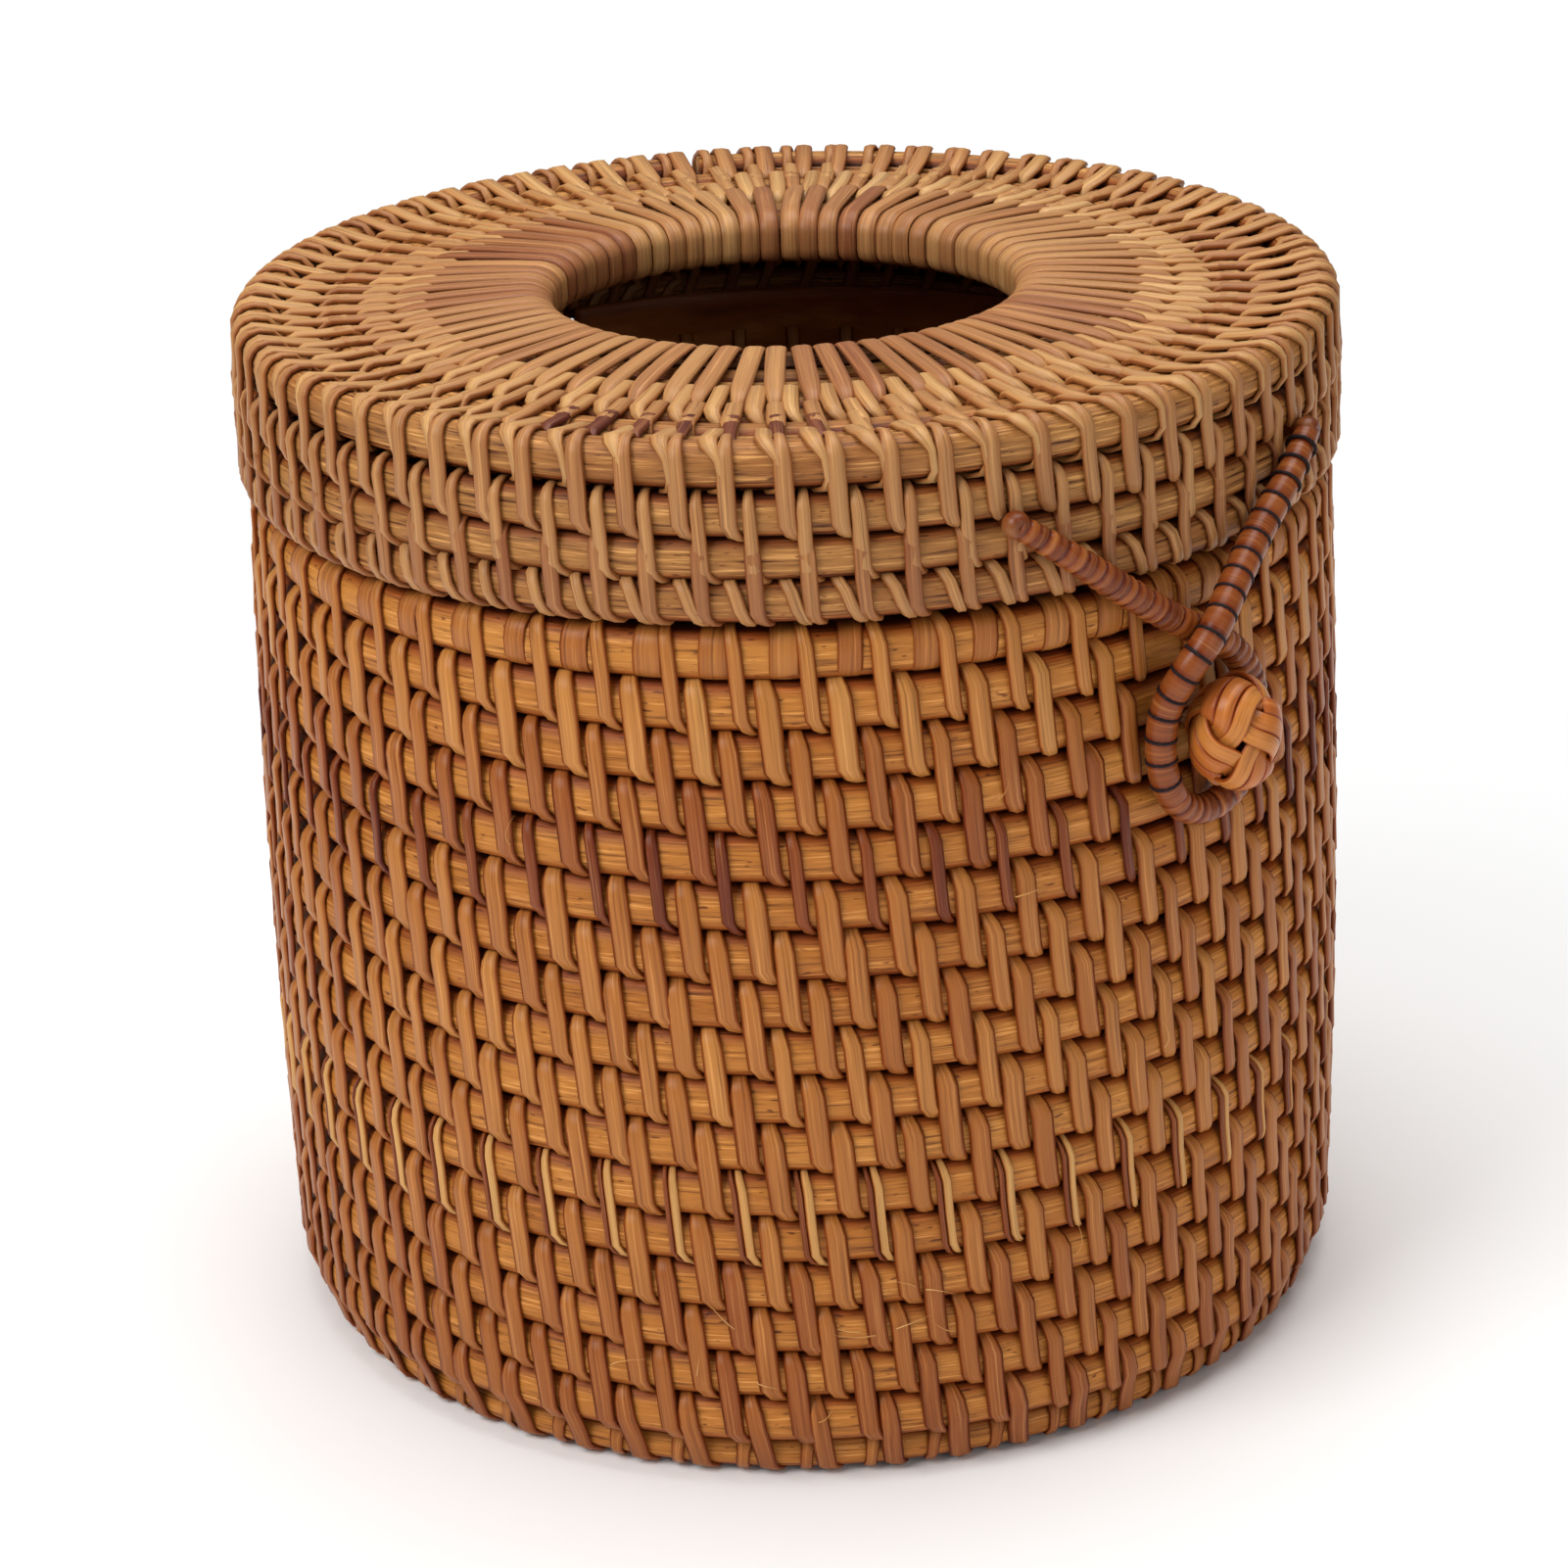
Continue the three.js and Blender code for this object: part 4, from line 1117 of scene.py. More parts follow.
# %% Lay and sew the base
base_pitch = 6.9 * mm
base_cane_wide = 6.3 * mm
base_height = 3.2 * mm
base_half_tall = 2.1 * mm
base_inner = 6.65 * mm
base_outer_edge = 70.5 * mm
base_turns = (base_outer_edge - base_cane_wide / 2 - base_inner) / base_pitch
base_last_round = math.floor(base_turns)
base_taper_turns = 0.75
base_start_turns = 0.7
base_stitch_gap = 8.5 * mm
foot_row_shift = 0.8
foot_row_end = 0.2


def base_run(turns):
    middle = base_inner + base_pitch * turns
    wide = max(thinnest, min(base_cane_wide, base_outer_edge - (middle - base_cane_wide / 2)))
    return middle - (base_cane_wide - wide) / 2, base_height, wide / 2, base_half_tall


lay_cane("base_rounds", "base_cane", base_run, -base_start_turns, base_turns + base_taper_turns,
         "beside", body="body")
base_rows = []
turns = 1.0
while turns < base_turns:
    base_rows.append((turns - 1, turns))
    turns += base_stitch_gap / (2 * math.pi * base_run(turns)[0])
foot_first = wall_rows[0][1] + foot_row_shift * stitch_step
foot_rows = [(turns, base_last_round + turns + (1 if turns < foot_row_end else 0))
             for turns in spaced(foot_first, 1, stitch_step)]
base_sewing = (("base_stitches", (base_run, base_run), base_rows, (0.3, 0.6), (2.5, 3.0), 0, 0.8),
               ("foot_stitches", (wall_run, base_run), foot_rows, (0.25, 0.45), (2.8, 3.1), 1.5, 0.75))
for name, runs, rows, tones, (narrow, wide), lean, thick in base_sewing:
    peel = peel_lengths(len(rows), wall_peel_stitches, tones, (narrow * mm, wide * mm))
    sew(name, runs, rows, peel, lean=lean, bow=0, thickness=thick * mm)

# %% [markdown]
# ## Start knot
# The first turns of peel are wound round the cane's end, in the middle of the base. They make a
# small dome with ridges: a sphere whose points are drawn in between the turns.

# %% Wind the start knot
knot_radius = 3.6 * mm
knot_half_tall = 2.4 * mm
ridge_depth = 0.09
ridge_pairs = 4
knot_tone = 0.45
round_length = 20 * mm


def paint(bm, tone, grain_of):
    """One tint for a piece that is no rod, and a UV map by a rule for its points."""
    tint = bm.verts.layers.float.new("tint")
    grain = bm.loops.layers.uv.new("grain")
    for vert in bm.verts:
        vert[tint] = tone
    for face in bm.faces:
        for loop in face.loops:
            loop[grain].uv = grain_of(loop.vert.co)


def wind_start_knot():
    bm = bmesh.new()
    bmesh.ops.create_uvsphere(bm, u_segments=48, v_segments=16, radius=1.0)
    for vert in bm.verts:
        x, y, z = vert.co
        drawn_in = ridge_depth * abs(math.sin(ridge_pairs * math.atan2(y, x))) ** 0.5 * math.hypot(x, y)
        vert.co = (x * knot_radius * (1 - drawn_in), y * knot_radius * (1 - drawn_in),
                   base_height + z * knot_half_tall)
    paint(bm, knot_tone, lambda co: (co.x + co.z, co.y / round_length))
    finish_piece(bm, "start_knot", peel_strip, "body", "peel", "base_start_knot")


wind_start_knot()

# %% [markdown]
# ## Collar of the tissue hole
# The collar is three flat rounds and two hoops, hidden under 72 strips. The rounds show a little
# where the strips part. A row of stitches joins the collar to the lid, sewn between the strips'
# ends, so the rounds and that row come first.

# %% Lay and join the collar's rounds
foundation_gap = 0.9 * mm
foundation_inner = top_inner_radius - top_cane - foundation_gap - (lid_courses - 1) * top_pitch
foundation_run = flat_run(foundation_inner, 148.9 * mm, 2.35 * mm)
lay_cane("collar_rounds", "collar_cane", foundation_run, -taper_turns, lid_end, "beside")
collar_rows = [(outermost(turns), turns) for turns in lid_row(-1)]
sew("collar_stitches", (foundation_run, top_run), collar_rows,
    peel_lengths(len(collar_rows), lid_peel_stitches, (0.56, 0.74), (2.1 * mm, 2.4 * mm)), "lid",
    lean=lid_lean, bow=-1.4, thickness=1.25 * mm)

# %% [markdown]
# Each strip starts under the lid's first row of stitches, runs in to the hole, goes round both hoops
# and comes back below. The strips lie edge to edge at the hole. Further out they part. All follow
# one path of straight stretches and two arcs, and differ in tone and in a slight sideways bend.

# %% Wrap the collar
hoop_radius = 36.55 * mm
upper_hoop = 150.8 * mm
lower_hoop = 147.8 * mm
hoop_wrap = 2.8 * mm
hoop_wrap_rise = 2.1 * mm
collar_bend = 3.7 * mm
collar_bend_rise = 2.5 * mm
collar_strips = 72
collar_strip_width = 2.95 * mm
collar_strip_thickness = 0.95 * mm
collar_edge_painted_shade = 0.2
same_peel_strips = 9
strip_bend = 0.9
strip_bend_reach = 20 * mm
collar_tones = (0.3, 0.45)
collar_widths = (0.97, 1.03)
collar_tone_wander = 0.12
collar_roll_wander = 4
# Radius and height in millimetres, the way out of the collar, and the share of the strip's width.
over_collar = [(56.5, 148.6, 1, 0.3, 0.5), (56.4, 150.0, 1, 0.5, 0.55), (55.9, 151.1, 0.8, 1, 0.66),
               (54.9, 151.75, 0.4, 1, 0.8), (53.3, 152.1, 0.1, 1, 0.92), (51.0, 152.3, 0, 1, 1),
               (48.0, 152.5, 0, 1, 1), (44.0, 152.7, 0, 1, 1), (40.6, 152.85, 0, 1, 1)]
under_collar = [(42, 145.6, 0, -1, 1), (48, 145.7, 0, -1, 1), (54, 145.8, 0, -1, 0.8),
                (56.3, 147.2, 1, -1, 0.5)]
# The two arcs: radius and height of their middles, half their width and height, and their angles.
collar_arcs = ((hoop_radius - hoop_wrap + collar_bend, upper_hoop + hoop_wrap_rise - collar_bend_rise,
                collar_bend, collar_bend_rise, (90, 106, 122, 138, 154, 167, 180)),
               (hoop_radius, lower_hoop, hoop_wrap, hoop_wrap_rise, (180, 210, 240, 270)))


def collar_path():
    """The strip's middle line as radius, height, the way out of the collar and the share of its width."""
    over, under = ([(radius * mm, height * mm, *rest) for radius, height, *rest in line]
                   for line in (over_collar, under_collar))
    bends = []
    for middle, level, half_wide, half_tall, angles in collar_arcs:
        for out, rise in [(math.cos(math.radians(a)), math.sin(math.radians(a))) for a in angles]:
            bends.append((middle + half_wide * out, level + half_tall * rise, out, rise, 1))
    return over + bends + under


print("the hoops' strip has", len(collar_path()), "stations")

# %% [markdown]
# The bend of each strip grows away from the hole, because the strips are held tight side by side at
# the hoops and lie looser further out. Their tone changes with each new length of peel.

# %% Lay the collar's strips
def wrap_collar():
    path = collar_path()
    template = strip_template(len(path) - 1, 10, shade_at_edges=collar_edge_painted_shade)
    bm = bmesh.new()
    peel = peel_lengths(collar_strips, same_peel_strips, collar_tones, collar_widths)
    for index, (tone, wide) in enumerate(peel):
        azimuth = (index + 0.5) * 360 / collar_strips + jitter(stitch_wander)
        bend = jitter(strip_bend)
        found = []
        for radius, height, out, rise, share in path:
            leaned = azimuth + bend * max(0, (radius - hoop_radius) / strip_bend_reach) ** 2
            found.append((polar(leaned, radius, height), polar(leaned, out, rise),
                          collar_strip_width * wide * share, collar_strip_thickness))
        tinge = within(tone + jitter(collar_tone_wander))
        lay_band(bm, template, found, tinge, math.radians(jitter(collar_roll_wander)), closed=False)
    close_ends(bm)
    finish_piece(bm, "collar_strips", lid_peel, "lid", "peel", "collar_wrap")


wrap_collar()

# %% [markdown]
# ## Hinge rings
# Two bands of strip hold the lid to the rim at the back. Each is wound several times round the rim
# and round the lid's lowest round, so three turns lie side by side in the ring. Its outline is that
# of a belt on two pulleys: an arc round each, and straight runs between them.

# %% Wind the hinge rings
hinge_rim_radius = 5.35 * mm
hinge_lid_radius = 4.55 * mm
hinge_sink = 1.0 * mm
hinge_rim_place = Vector((wall_radius(rim_height) - hinge_sink, rim_height))
hinge_lid_place = Vector((skirt_radius - hinge_sink, skirt_height))
hinge_turns = 3
hinge_strip_width = 1.5 * mm
hinge_strip_thickness = 0.8 * mm
hinge_wave = 0.12 * mm
wave_per_station = 0.7
wave_per_turn = 2.1
hinge_overlap = 0.9
hinge_tone = 0.45
hinge_tone_step = 0.12
arc_steps = 9


def ring_outline():
    """Points and normals of a taut band round two circles, in the Y-Z plane."""
    reach, rise = hinge_lid_place - hinge_rim_place
    lean = math.atan2(rise, reach)
    spread = math.acos((hinge_rim_radius - hinge_lid_radius) / math.hypot(reach, rise))
    arcs = ((hinge_rim_place, hinge_rim_radius, lean + spread, 2 * math.pi - 2 * spread),
            (hinge_lid_place, hinge_lid_radius, lean - spread, 2 * spread))
    outline = []
    for middle, radius, start, sweep in arcs:
        for step in range(arc_steps + 1):
            turn = start + sweep * step / arc_steps
            outward = Vector((math.cos(turn), math.sin(turn)))
            outline.append((middle + outward * radius, outward))
    return outline


def wind_hinge(side, name, node):
    outline = ring_outline()
    template = strip_template(len(outline), 8)
    bm = bmesh.new()
    for turn in range(hinge_turns):
        shift = side * hinge_offset + (turn - (hinge_turns - 1) / 2) * (hinge_strip_width * hinge_overlap)
        found = []
        for index, (point, outward) in enumerate(outline):
            aside = shift + hinge_wave * math.sin(index * wave_per_station + turn * wave_per_turn)
            found.append((Vector((aside, *point)), Vector((0, *outward)), hinge_strip_width,
                          hinge_strip_thickness))
        lay_band(bm, template, found, hinge_tone + hinge_tone_step * turn)
    close_bands(bm)
    finish_piece(bm, name, peel_strip, "lid", "peel", node)


wind_hinge(-1, "left_hinge_ring", "hinge_ring_left")
wind_hinge(1, "right_hinge_ring", "hinge_ring_right")

# %% [markdown]
# ## Loop of the clasp
# The loop is a cord that leaves the lid, passes over itself above the knob and closes round it. Its
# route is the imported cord's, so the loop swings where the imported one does. A curve object could
# carry it, but the windings have to be counted in millimetres along it, so it is walked in even
# steps instead.

# %% The route of the loop
clasp_radius = 79.5 * mm
cord_radius = 1.75 * mm
cord_spacing = 0.2 * mm
curve_steps = 60
loop_end_azimuth = 19.8
loop_axis_height = skirt_height + 1.5 * skirt_pitch
loop_end_stand = clasp_radius + 0.15 * mm + cord_radius
# Millimetres to the right, below the loop's ends and out from the wall.
loop_route = [(20.4, 4.3, 2.8), (12.6, 9.5, 3.1), (4.8, 14.7, 4.9), (-1.2, 19.4, 6.8), (-4.6, 23.9, 5.9),
              (-6.3, 29.1, 3.8), (-6.8, 34.7, 3.1), (-5.9, 40.3, 3.1), (-3.2, 44.5, 3.1), (1.4, 46.3, 3.1),
              (6.8, 45.0, 3.1), (10.4, 41.0, 3.1), (11.6, 35.5, 3.1), (10.6, 30.0, 3.0), (7.4, 25.3, 2.8),
              (2.6, 21.7, 2.7), (-4.0, 17.7, 2.7), (-12.2, 11.9, 2.8), (-20.2, 5.7, 2.8)]


def curve_through(points, spacing):
    """Even points on a smooth curve through the given ones, closer round tight bends."""
    points = [2 * points[0] - points[1], *points, 2 * points[-1] - points[-2]]
    fine = []
    for a, b, c, d in zip(points, points[1:], points[2:], points[3:]):
        gap_a, gap_b, gap_c = (math.sqrt((q - p).length) for p, q in ((a, b), (b, c), (c, d)))
        start = ((b - a) / gap_a - (c - a) / (gap_a + gap_b) + (c - b) / gap_b) * gap_b
        end = ((c - b) / gap_b - (d - b) / (gap_b + gap_c) + (d - c) / gap_c) * gap_b
        for t in [step / curve_steps for step in range(curve_steps)]:
            fine.append(b * (2 * t ** 3 - 3 * t ** 2 + 1) + start * (t ** 3 - 2 * t ** 2 + t)
                        + c * (3 * t ** 2 - 2 * t ** 3) + end * (t ** 3 - t ** 2))
    fine.append(points[-2])
    even = [fine[0]]
    for point in fine:
        while (point - even[-1]).length > spacing:
            even.append(even[-1] + (point - even[-1]).normalized() * spacing)
    return even


def frames_along(points):
    """The point, the side and the outward direction at every point of a cord on the wall."""
    frames = []
    for index, point in enumerate(points):
        along = (points[min(index + 1, len(points) - 1)] - points[max(index - 1, 0)]).normalized()
        outward = Vector((point.x, point.y, 0)).normalized()
        side = along.cross(outward).normalized()
        frames.append((point, side, side.cross(along)))
    return frames


right_head, left_head = (polar(side * loop_end_azimuth, loop_end_stand, loop_axis_height)
                         for side in (1, -1))
route = [polar(math.degrees(across * mm / (clasp_radius + cord_radius)), clasp_radius + out * mm,
               loop_axis_height - drop * mm) for across, drop, out in loop_route]
loop_points = curve_through([right_head, *route, left_head], cord_spacing)
loop_frames = frames_along(loop_points)
loop_length = (len(loop_points) - 1) * cord_spacing
print("loop", round(loop_length / mm), "mm of cord")

# %% [markdown]
# The cord has peel wound round it, which shows as slanted ridges with a deep groove at every second
# one. Its right leg is tied with rings of dark waxed thread, 3.3 mm apart, and swells between them.
# The grooves are made by drawing the rod's rings in, so the same rod serves for both.

# %% Wind the loop
cord_sides = 14
wound_radius = 2.15 * mm
thread_pitch = 3.3 * mm
threaded_length = 62 * mm
wound_pitch = 1.6 * mm
wound_slant = 0.1
deep_groove_every = 2
deep_groove = 0.3 * mm
shallow_groove = 0.16 * mm
thread_groove = 0.12 * mm
wound_tone = 0.38
wound_tones = 200
wound_tone_wander = 0.16
# Pitch, how blunt the ridges are, and the share of the windings' difference in tone.
threaded_winding = (thread_pitch, 0.4, 0.4)
plain_winding = (wound_pitch, 0.6, 1.3)
# Share of painted shade that a shallow groove gets, against a deep groove or a thread ring.
shallow_groove_shade = 0.6
end_draw = 0.45 * mm
end_draw_length = 16 * mm
# Wound while wet and polished by hands: tight, reddish brown and a little glossier than the box.
wound_peel = rattan("rattan peel, wound and polished",
                    [(0.0, "#5A240B"), (0.35, "#86431A"), (0.65, "#A05A24"), (1.0, "#BC7A3A")],
                    roughness=0.33, streak_length=14 * mm, streaks_round=8, relief=0.2, mottle=0.2,
                    contrast=0.4, gloss=0.3)


def lay_loop():
    last = len(loop_points) - 1
    bm = straight_rod(last, cord_sides, cord_spacing / thread_pitch)
    tint, seam = (bm.verts.layers.float[layer] for layer in ("tint", "seam"))
    grain = bm.loops.layers.uv["grain"]
    for face in bm.faces:
        for loop in face.loops:
            windings, round_share = loop[grain].uv
            loop[grain].uv = (round_share * 2 * math.pi * cord_radius, windings)
    turn_tones = [jitter(wound_tone_wander) for _ in range(wound_tones)]
    for vert in bm.verts:
        point, side, outward = loop_frames[round(vert.co.x)]
        along = vert.co.x * cord_spacing + wound_slant * vert.co.y * wound_radius
        threaded = along < threaded_length
        pitch, bluntness, tone_share = threaded_winding if threaded else plain_winding
        phase = along / pitch
        swell = abs(math.sin(math.pi * phase)) ** bluntness
        deep = not threaded and round(phase) % deep_groove_every == 0
        groove = thread_groove if threaded else deep_groove if deep else shallow_groove
        from_end = min(vert.co.x, last - vert.co.x) * cord_spacing
        drawn_in = end_draw * max(0, 1 - from_end / end_draw_length)
        radius = wound_radius - drawn_in - groove * (1 - swell)
        # Painted shade in the grooves, deepest by the thread rings and in the deep grooves.
        vert[seam] = (1.0 if deep or threaded else shallow_groove_shade) * (1 - swell)
        vert[tint] = wound_tone + tone_share * turn_tones[int(phase) % wound_tones]
        vert.co = point + side * (vert.co.y * radius) + outward * (vert.co.z * radius)
    close_ends(bm)
    finish_piece(bm, "loop_cord_wound", wound_peel, "loop", "wrapped_cord", "loop_cord")


lay_loop()

# %% [markdown]
# Each ring of thread is a full spin of a small circle, tilted a little on the cord. A torus would
# give the same form, but the spin shows how one is made.

# %% Tie the threads
thread_radius = 0.27 * mm
thread_sunk = 0.12 * mm
thread_tilt = 0.08


def fibrous(name, fineness, detail, stops, roughness, gloss, relief):
    """Fine fibres in Object coordinates, so many to a metre along each axis."""
    material, tree, shader = new_material(name)
    place = add_node(tree, "ShaderNodeTexCoord")
    drawn = add_node(tree, "ShaderNodeMapping", {"Vector": place.outputs["Object"], "Scale": fineness})
    fibres = add_node(tree, "ShaderNodeTexNoise", {"Vector": drawn.outputs[0], "Scale": 1.0,
                                                   "Detail": detail})
    tone = add_node(tree, "ShaderNodeValToRGB", {"Fac": fibres.outputs["Fac"]}, stops)
    bump = add_node(tree, "ShaderNodeBump", {"Height": fibres.outputs["Fac"], "Strength": relief,
                                             "Distance": 0.1 * mm})
    set_sockets(tree, shader, {"Base Color": tone.outputs[0], "Roughness": roughness,
                               "Specular IOR Level": gloss, "Normal": bump.outputs[0]})
    return material


def seated(place, *axes):
    """A matrix that sets a shape down at a place, with its own axes along the given ones."""
    return Matrix.Translation(place) @ Matrix(axes).transposed().to_4x4()


def tie_threads():
    bm = bmesh.new()
    for ring in spaced(thread_pitch, threaded_length, thread_pitch):
        point, side, outward = loop_frames[round(ring / cord_spacing)]
        aside = Matrix.Translation((wound_radius - thread_sunk, 0, 0))
        made = bmesh.ops.create_circle(bm, segments=6, radius=thread_radius,
                                       matrix=aside @ Matrix.Rotation(math.pi / 2, 4, "X"))
        edges = list({edge for vert in made["verts"] for edge in vert.link_edges})
        before = set(bm.verts)
        bmesh.ops.spin(bm, geom=made["verts"] + edges, cent=(0, 0, 0), axis=(0, 0, 1), angle=2 * math.pi,
                       steps=18, use_merge=True)
        verts = made["verts"] + [vert for vert in bm.verts if vert not in before]
        tilt = side.cross(outward) + side * (wound_slant + jitter(thread_tilt))
        bmesh.ops.transform(bm, matrix=seated(point, side, outward, tilt.normalized()), verts=verts)
    finish_piece(bm, "thread_rings", waxed_thread, "loop", "wrapped_cord")


# Drawn through wax: nearly black, with a low sheen and hardly any fibre.
waxed_thread = fibrous("waxed thread, black", (2500, 2500, 2500), 2.0, [(0.35, "#130A0B"), (0.7, "#2B1A1A")],
                       roughness=0.65, gloss=0.2, relief=0.0)
tie_threads()

# %% [markdown]
# ## Ends of the loop
# Each end of the cord goes through the seam between two rounds of the skirt, and is knotted inside.
# Outside, the last turns of peel close over the end as a small round head, on which the loop swings.
# All three are round about the same line, so one profile is spun about it.

# %% Turn the ends
tail_radius = 1.2 * mm
head_radius = 1.95 * mm
head_groove = 0.07 * mm
skirt_inside = skirt_radius - 3.3 * mm
# The heads are tinted near black: painted shade for the cut end of the cord, which lies in shadow.
shaded_end_tone = 0.12
# The knot's profile: radius, and place out from the inside of the skirt, in millimetres.
end_knot = ((0, -3.2), (1.7, -3.2), (2.7, -2.3), (2.2, -1.7), (2.7, -1.0), (1.7, 0), (1.2, 0))


def turn_end(side, name, node):
    profile = [(radius * mm, skirt_inside + along * mm) for radius, along in end_knot]
    profile.append((tail_radius, loop_end_stand - 1.6 * mm))
    for degrees in range(140, -1, -12):
        turn = math.radians(degrees)
        head = head_radius + head_groove * math.cos(degrees * 0.5)
        profile.append((head * math.sin(turn), loop_end_stand + min(1.5 * mm, head * math.cos(turn))))
    profile.append((0, loop_end_stand + 1.3 * mm))
    bm = bmesh.new()
    verts = [bm.verts.new((radius, 0, along)) for radius, along in profile]
    edges = [bm.edges.new(pair) for pair in zip(verts, verts[1:])]
    bmesh.ops.spin(bm, geom=verts + edges, cent=(0, 0, 0), axis=(0, 0, 1), angle=2 * math.pi, steps=20,
                   use_merge=True)
    bmesh.ops.remove_doubles(bm, verts=bm.verts, dist=0.01 * mm)
    outward, up = polar(side * loop_end_azimuth, 1, 0), Vector((0, 0, 1))
    bmesh.ops.transform(bm, matrix=seated((0, 0, loop_axis_height), up.cross(outward), up, outward),
                        verts=bm.verts)
    paint(bm, shaded_end_tone, lambda co: (co.z, co.x / round_length))
    finish_piece(bm, name, wound_peel, "lid", "wrapped_cord", node)


turn_end(1, "right_loop_end", "loop_end_right")
turn_end(-1, "left_loop_end", "loop_end_left")

# %% [markdown]
# ## Woven knob
# The knob is a Turk's head: one tripled strip that goes three times round the ball and swings four
# times between its two ends, over and under itself in turn. One formula gives its whole path, which
# is worked out on a ball that stands upright, and then turned. The ball has turned on its stem, so
# that the open end of the weave looks to the left of the front.

# %% The path of the knob's strip
knob_azimuth = 1.6
knob_height = rim_height - 2.5 * course_pitch
knob_stand = clasp_radius + 7.5 * mm
knob_facing = -36
knob_turn = 52
bight_angle = 53
leads = 3
bights = 4
strand_thickness = 0.7 * mm
strand_swell = 0.8 * mm
strand_reach = strand_swell + strand_thickness / 2
weave_steps = 240
woven_halves = (6.7 * mm, 8.4 * mm, 6.5 * mm)
knob_halves = Vector([half - strand_reach for half in woven_halves])
knob_shrink = Vector([1 / half for half in knob_halves])
knob_axes = Matrix((polar(knob_facing + 90, 1, 0), (0, 0, 1), polar(knob_facing, 1, 0))).transposed()


def on_ball(turn):
    """The strip's middle line on the ball, whose axis is Z."""
    from_pole = math.pi / 2 - math.radians(bight_angle) * math.cos(bights * turn)
    about = leads * turn + math.radians(knob_turn)
    return Vector((math.sin(from_pole) * math.cos(about), math.sin(from_pole) * math.sin(about),
                   math.cos(from_pole))) * knob_halves


def off_ball(spot):
    return (spot * knob_shrink * knob_shrink).normalized()


def knob_spot(turn, across):
    """A point on the ball at a turn of the strip, some way across it, and the way out there."""
    point = on_ball(turn)
    ahead = on_ball(turn + 0.01) - on_ball(turn - 0.01)
    beside = point + off_ball(point).cross(ahead).normalized() * across
    beside *= (point * knob_shrink).length / (beside * knob_shrink).length
    lift = strand_swell * math.sin(2 * bights * turn - math.pi)
    outward = off_ball(beside)
    middle = polar(knob_azimuth, knob_stand, knob_height)
    return middle + knob_axes @ (beside + outward * lift), knob_axes @ outward


line = [on_ball(2 * math.pi * step / weave_steps) for step in range(weave_steps + 1)]
print("strip", round(sum((b - a).length for a, b in zip(line, line[1:])) / mm), "mm long on the ball")

# %% [markdown]
# Three strands lie side by side along that path. Each is one closed band, wrapped as the stitches
# are, with more stations, because it bends all the way.

# %% Weave the knob
strands = 3
strand_width = 2.5 * mm
strand_pitch = 2.3 * mm
strand_tone = 0.34
strand_tone_step = 0.2
# Oiled and handled for years: the glossiest part, orange brown, with hardly any streak.
knob_peel = rattan("rattan peel, oiled",
                   [(0.0, "#8C3E14"), (0.35, "#AD5A22"), (0.65, "#BE7230"), (1.0, "#CF8F48")],
                   roughness=0.33, streak_length=12 * mm, streaks_round=6, relief=0.15, mottle=0.35,
                   contrast=0.45, gloss=0.3)


def weave_knob():
    template = strip_template(weave_steps, 12, 0.4)
    bm = bmesh.new()
    for strand in range(strands):
        across = (strand - (strands - 1) / 2) * strand_pitch
        found = [(*knob_spot(2 * math.pi * step / weave_steps, across), strand_width, strand_thickness)
                 for step in range(weave_steps)]
        lay_band(bm, template, found, strand_tone + strand_tone_step * strand)
    close_bands(bm)
    finish_piece(bm, "woven_knob", knob_peel, "body", "knob_strip", "knob_weave")


weave_knob()

# %% [markdown]
# ## Frayed fibres
# A planed strip sheds a fibre here and there, mostly near the foot. Hair particles could scatter
# them, but a few placed one by one look less even. Each is a thin straight rod bent into a short arc,
# and it grows out of a seam.

# %% Fray a few fibres
# The azimuth, the course above the foot, and the heading in degrees from level.
frays = [(-33, 3.6, 40), (-36.5, 3.6, 150), (-30, 4.4, 20), (-27, 3.4, 160), (-49, 3.7, 120),
         (-53, 2.6, 70), (-47, 2.5, 15), (-41, 1.6, 35), (-62, 2.6, 60), (-58, 9.4, 130),
         (-22, 14.4, 40), (-20, 12.4, 30), (-70, 13.5, 100), (-14, 4.5, 60), (-3, 8.4, 80),
         (-31, 4.5, 120), (-35, 3.5, 170)]
fray_length = 5.0 * mm
fray_radius = 0.11 * mm
fray_steps = 10
fray_stand = 0.5 * mm
fray_arch = 1.2 * mm
fray_lengths = (0.5, 1.2)
fray_bend = 0.9
fray_tone = 0.75
fray_tone_range = 0.25
fray_taper = 1.15
arch_start = 0.1
arch_share = 0.8


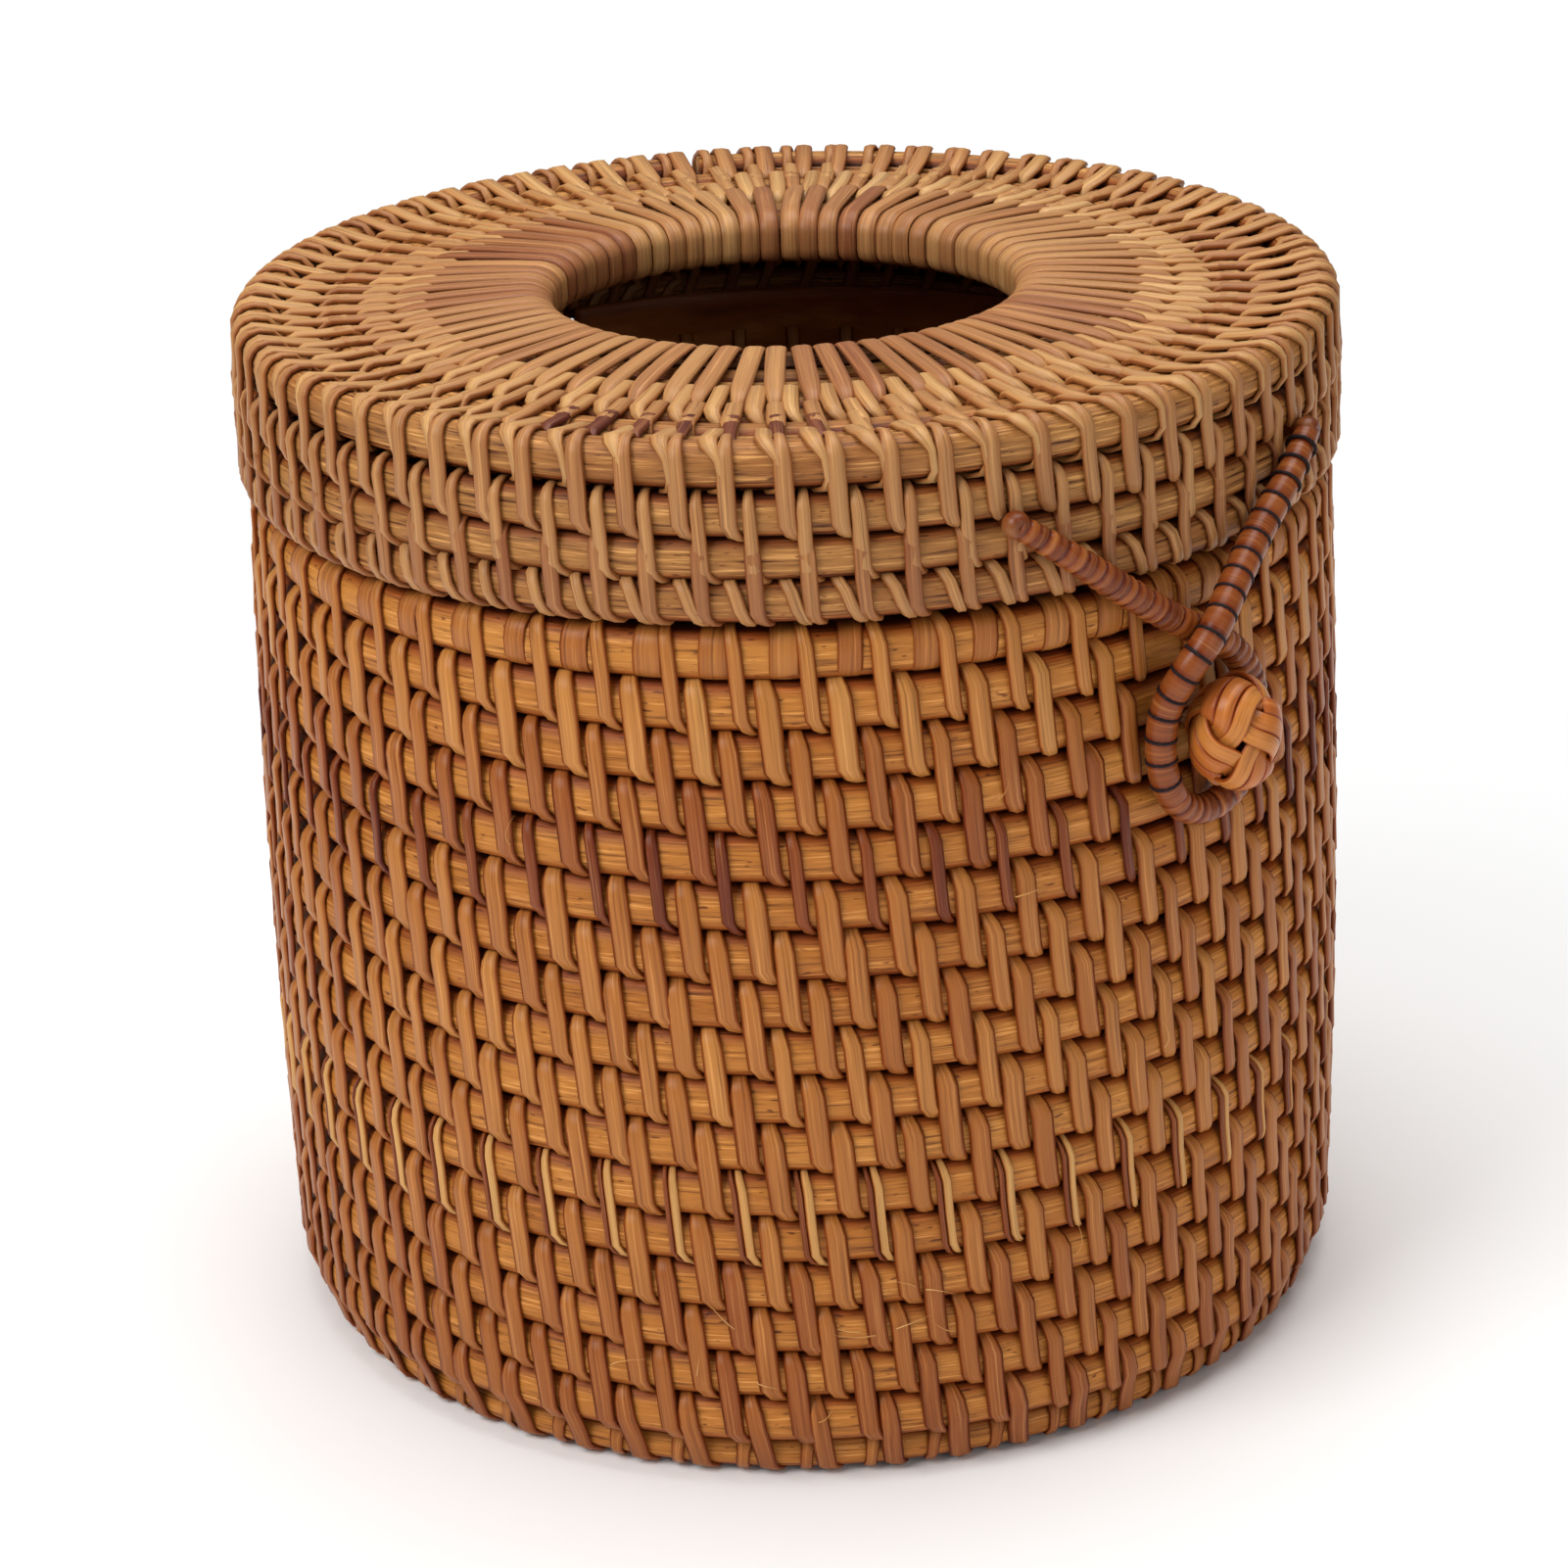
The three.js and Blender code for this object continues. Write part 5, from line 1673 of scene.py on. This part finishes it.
def fray_fibres():
    rod = straight_rod(fray_steps, 5)
    close_ends(rod)
    template = as_mesh(rod, "fibre")
    bm = bmesh.new()
    for azimuth, course, heading in frays:
        height = foot_height + course_pitch * (course - 0.5)
        root = polar(azimuth, wall_radius(height) + wall_half_wide, height)
        outward = polar(azimuth, 1, 0)
        turn = math.radians(heading)
        ahead = polar(azimuth + 90, 1, 0) * math.cos(turn) + Vector((0, 0, math.sin(turn)))
        across = ahead.cross(outward).normalized()
        length = fray_length * chance.uniform(*fray_lengths)
        bend = jitter(fray_bend)
        tone = fray_tone + fray_tone_range * chance.random()
        for vert in add_copy(bm, template)[0]:
            share = vert.co.x / fray_steps
            thin = fray_radius * (fray_taper - share)
            arch = fray_stand + fray_arch * math.sin(math.pi * min(1, share * arch_share + arch_start))
            spot = root + ahead * (length * share) + across * (length * bend * share ** 2) + outward * arch
            vert.co = spot + across * (vert.co.y * thin) + outward * (vert.co.z * thin)
            vert[bm.verts.layers.float["tint"]] = tone
    # The faces still have the straight rod's normals, and so thin a shape needs its own.
    bm.normal_update()
    finish_piece(bm, "frayed_fibres", peel_strip, "body", "peel")


fray_fibres()

# %% [markdown]
# ## Pieces that stay as packed
# The hoops, the stem and its knot, and the ball's core lie under other pieces, so their packed
# shapes are right. They have no UV map, so their rattan reads Object coordinates: rings round the
# box for the hoops, and plain fibres for the small pieces.

# %% Finish the hidden pieces
fibre_length = 3 * mm
fibre_width = 0.3 * mm
hidden_pieces = ("collar_hoop_upper", "collar_hoop_lower", "knob_stem", "knob_stem_knot", "knob_core")
# Never planed: brown, open and fibrous, with no shine at all.
unplaned = fibrous("rattan core, unplaned", (1 / fibre_length, 1 / fibre_length, 1 / fibre_width), 3.0,
                   [(0.35, "#4A2812"), (0.55, "#7E4C24"), (0.75, "#9A6534")], roughness=0.7, gloss=0.5,
                   relief=0.5)
for node in hidden_pieces:
    for slot in bpy.data.objects[node].material_slots:
        slot.material = unplaned
print(len(hidden_pieces), "packed pieces in", unplaned.name)
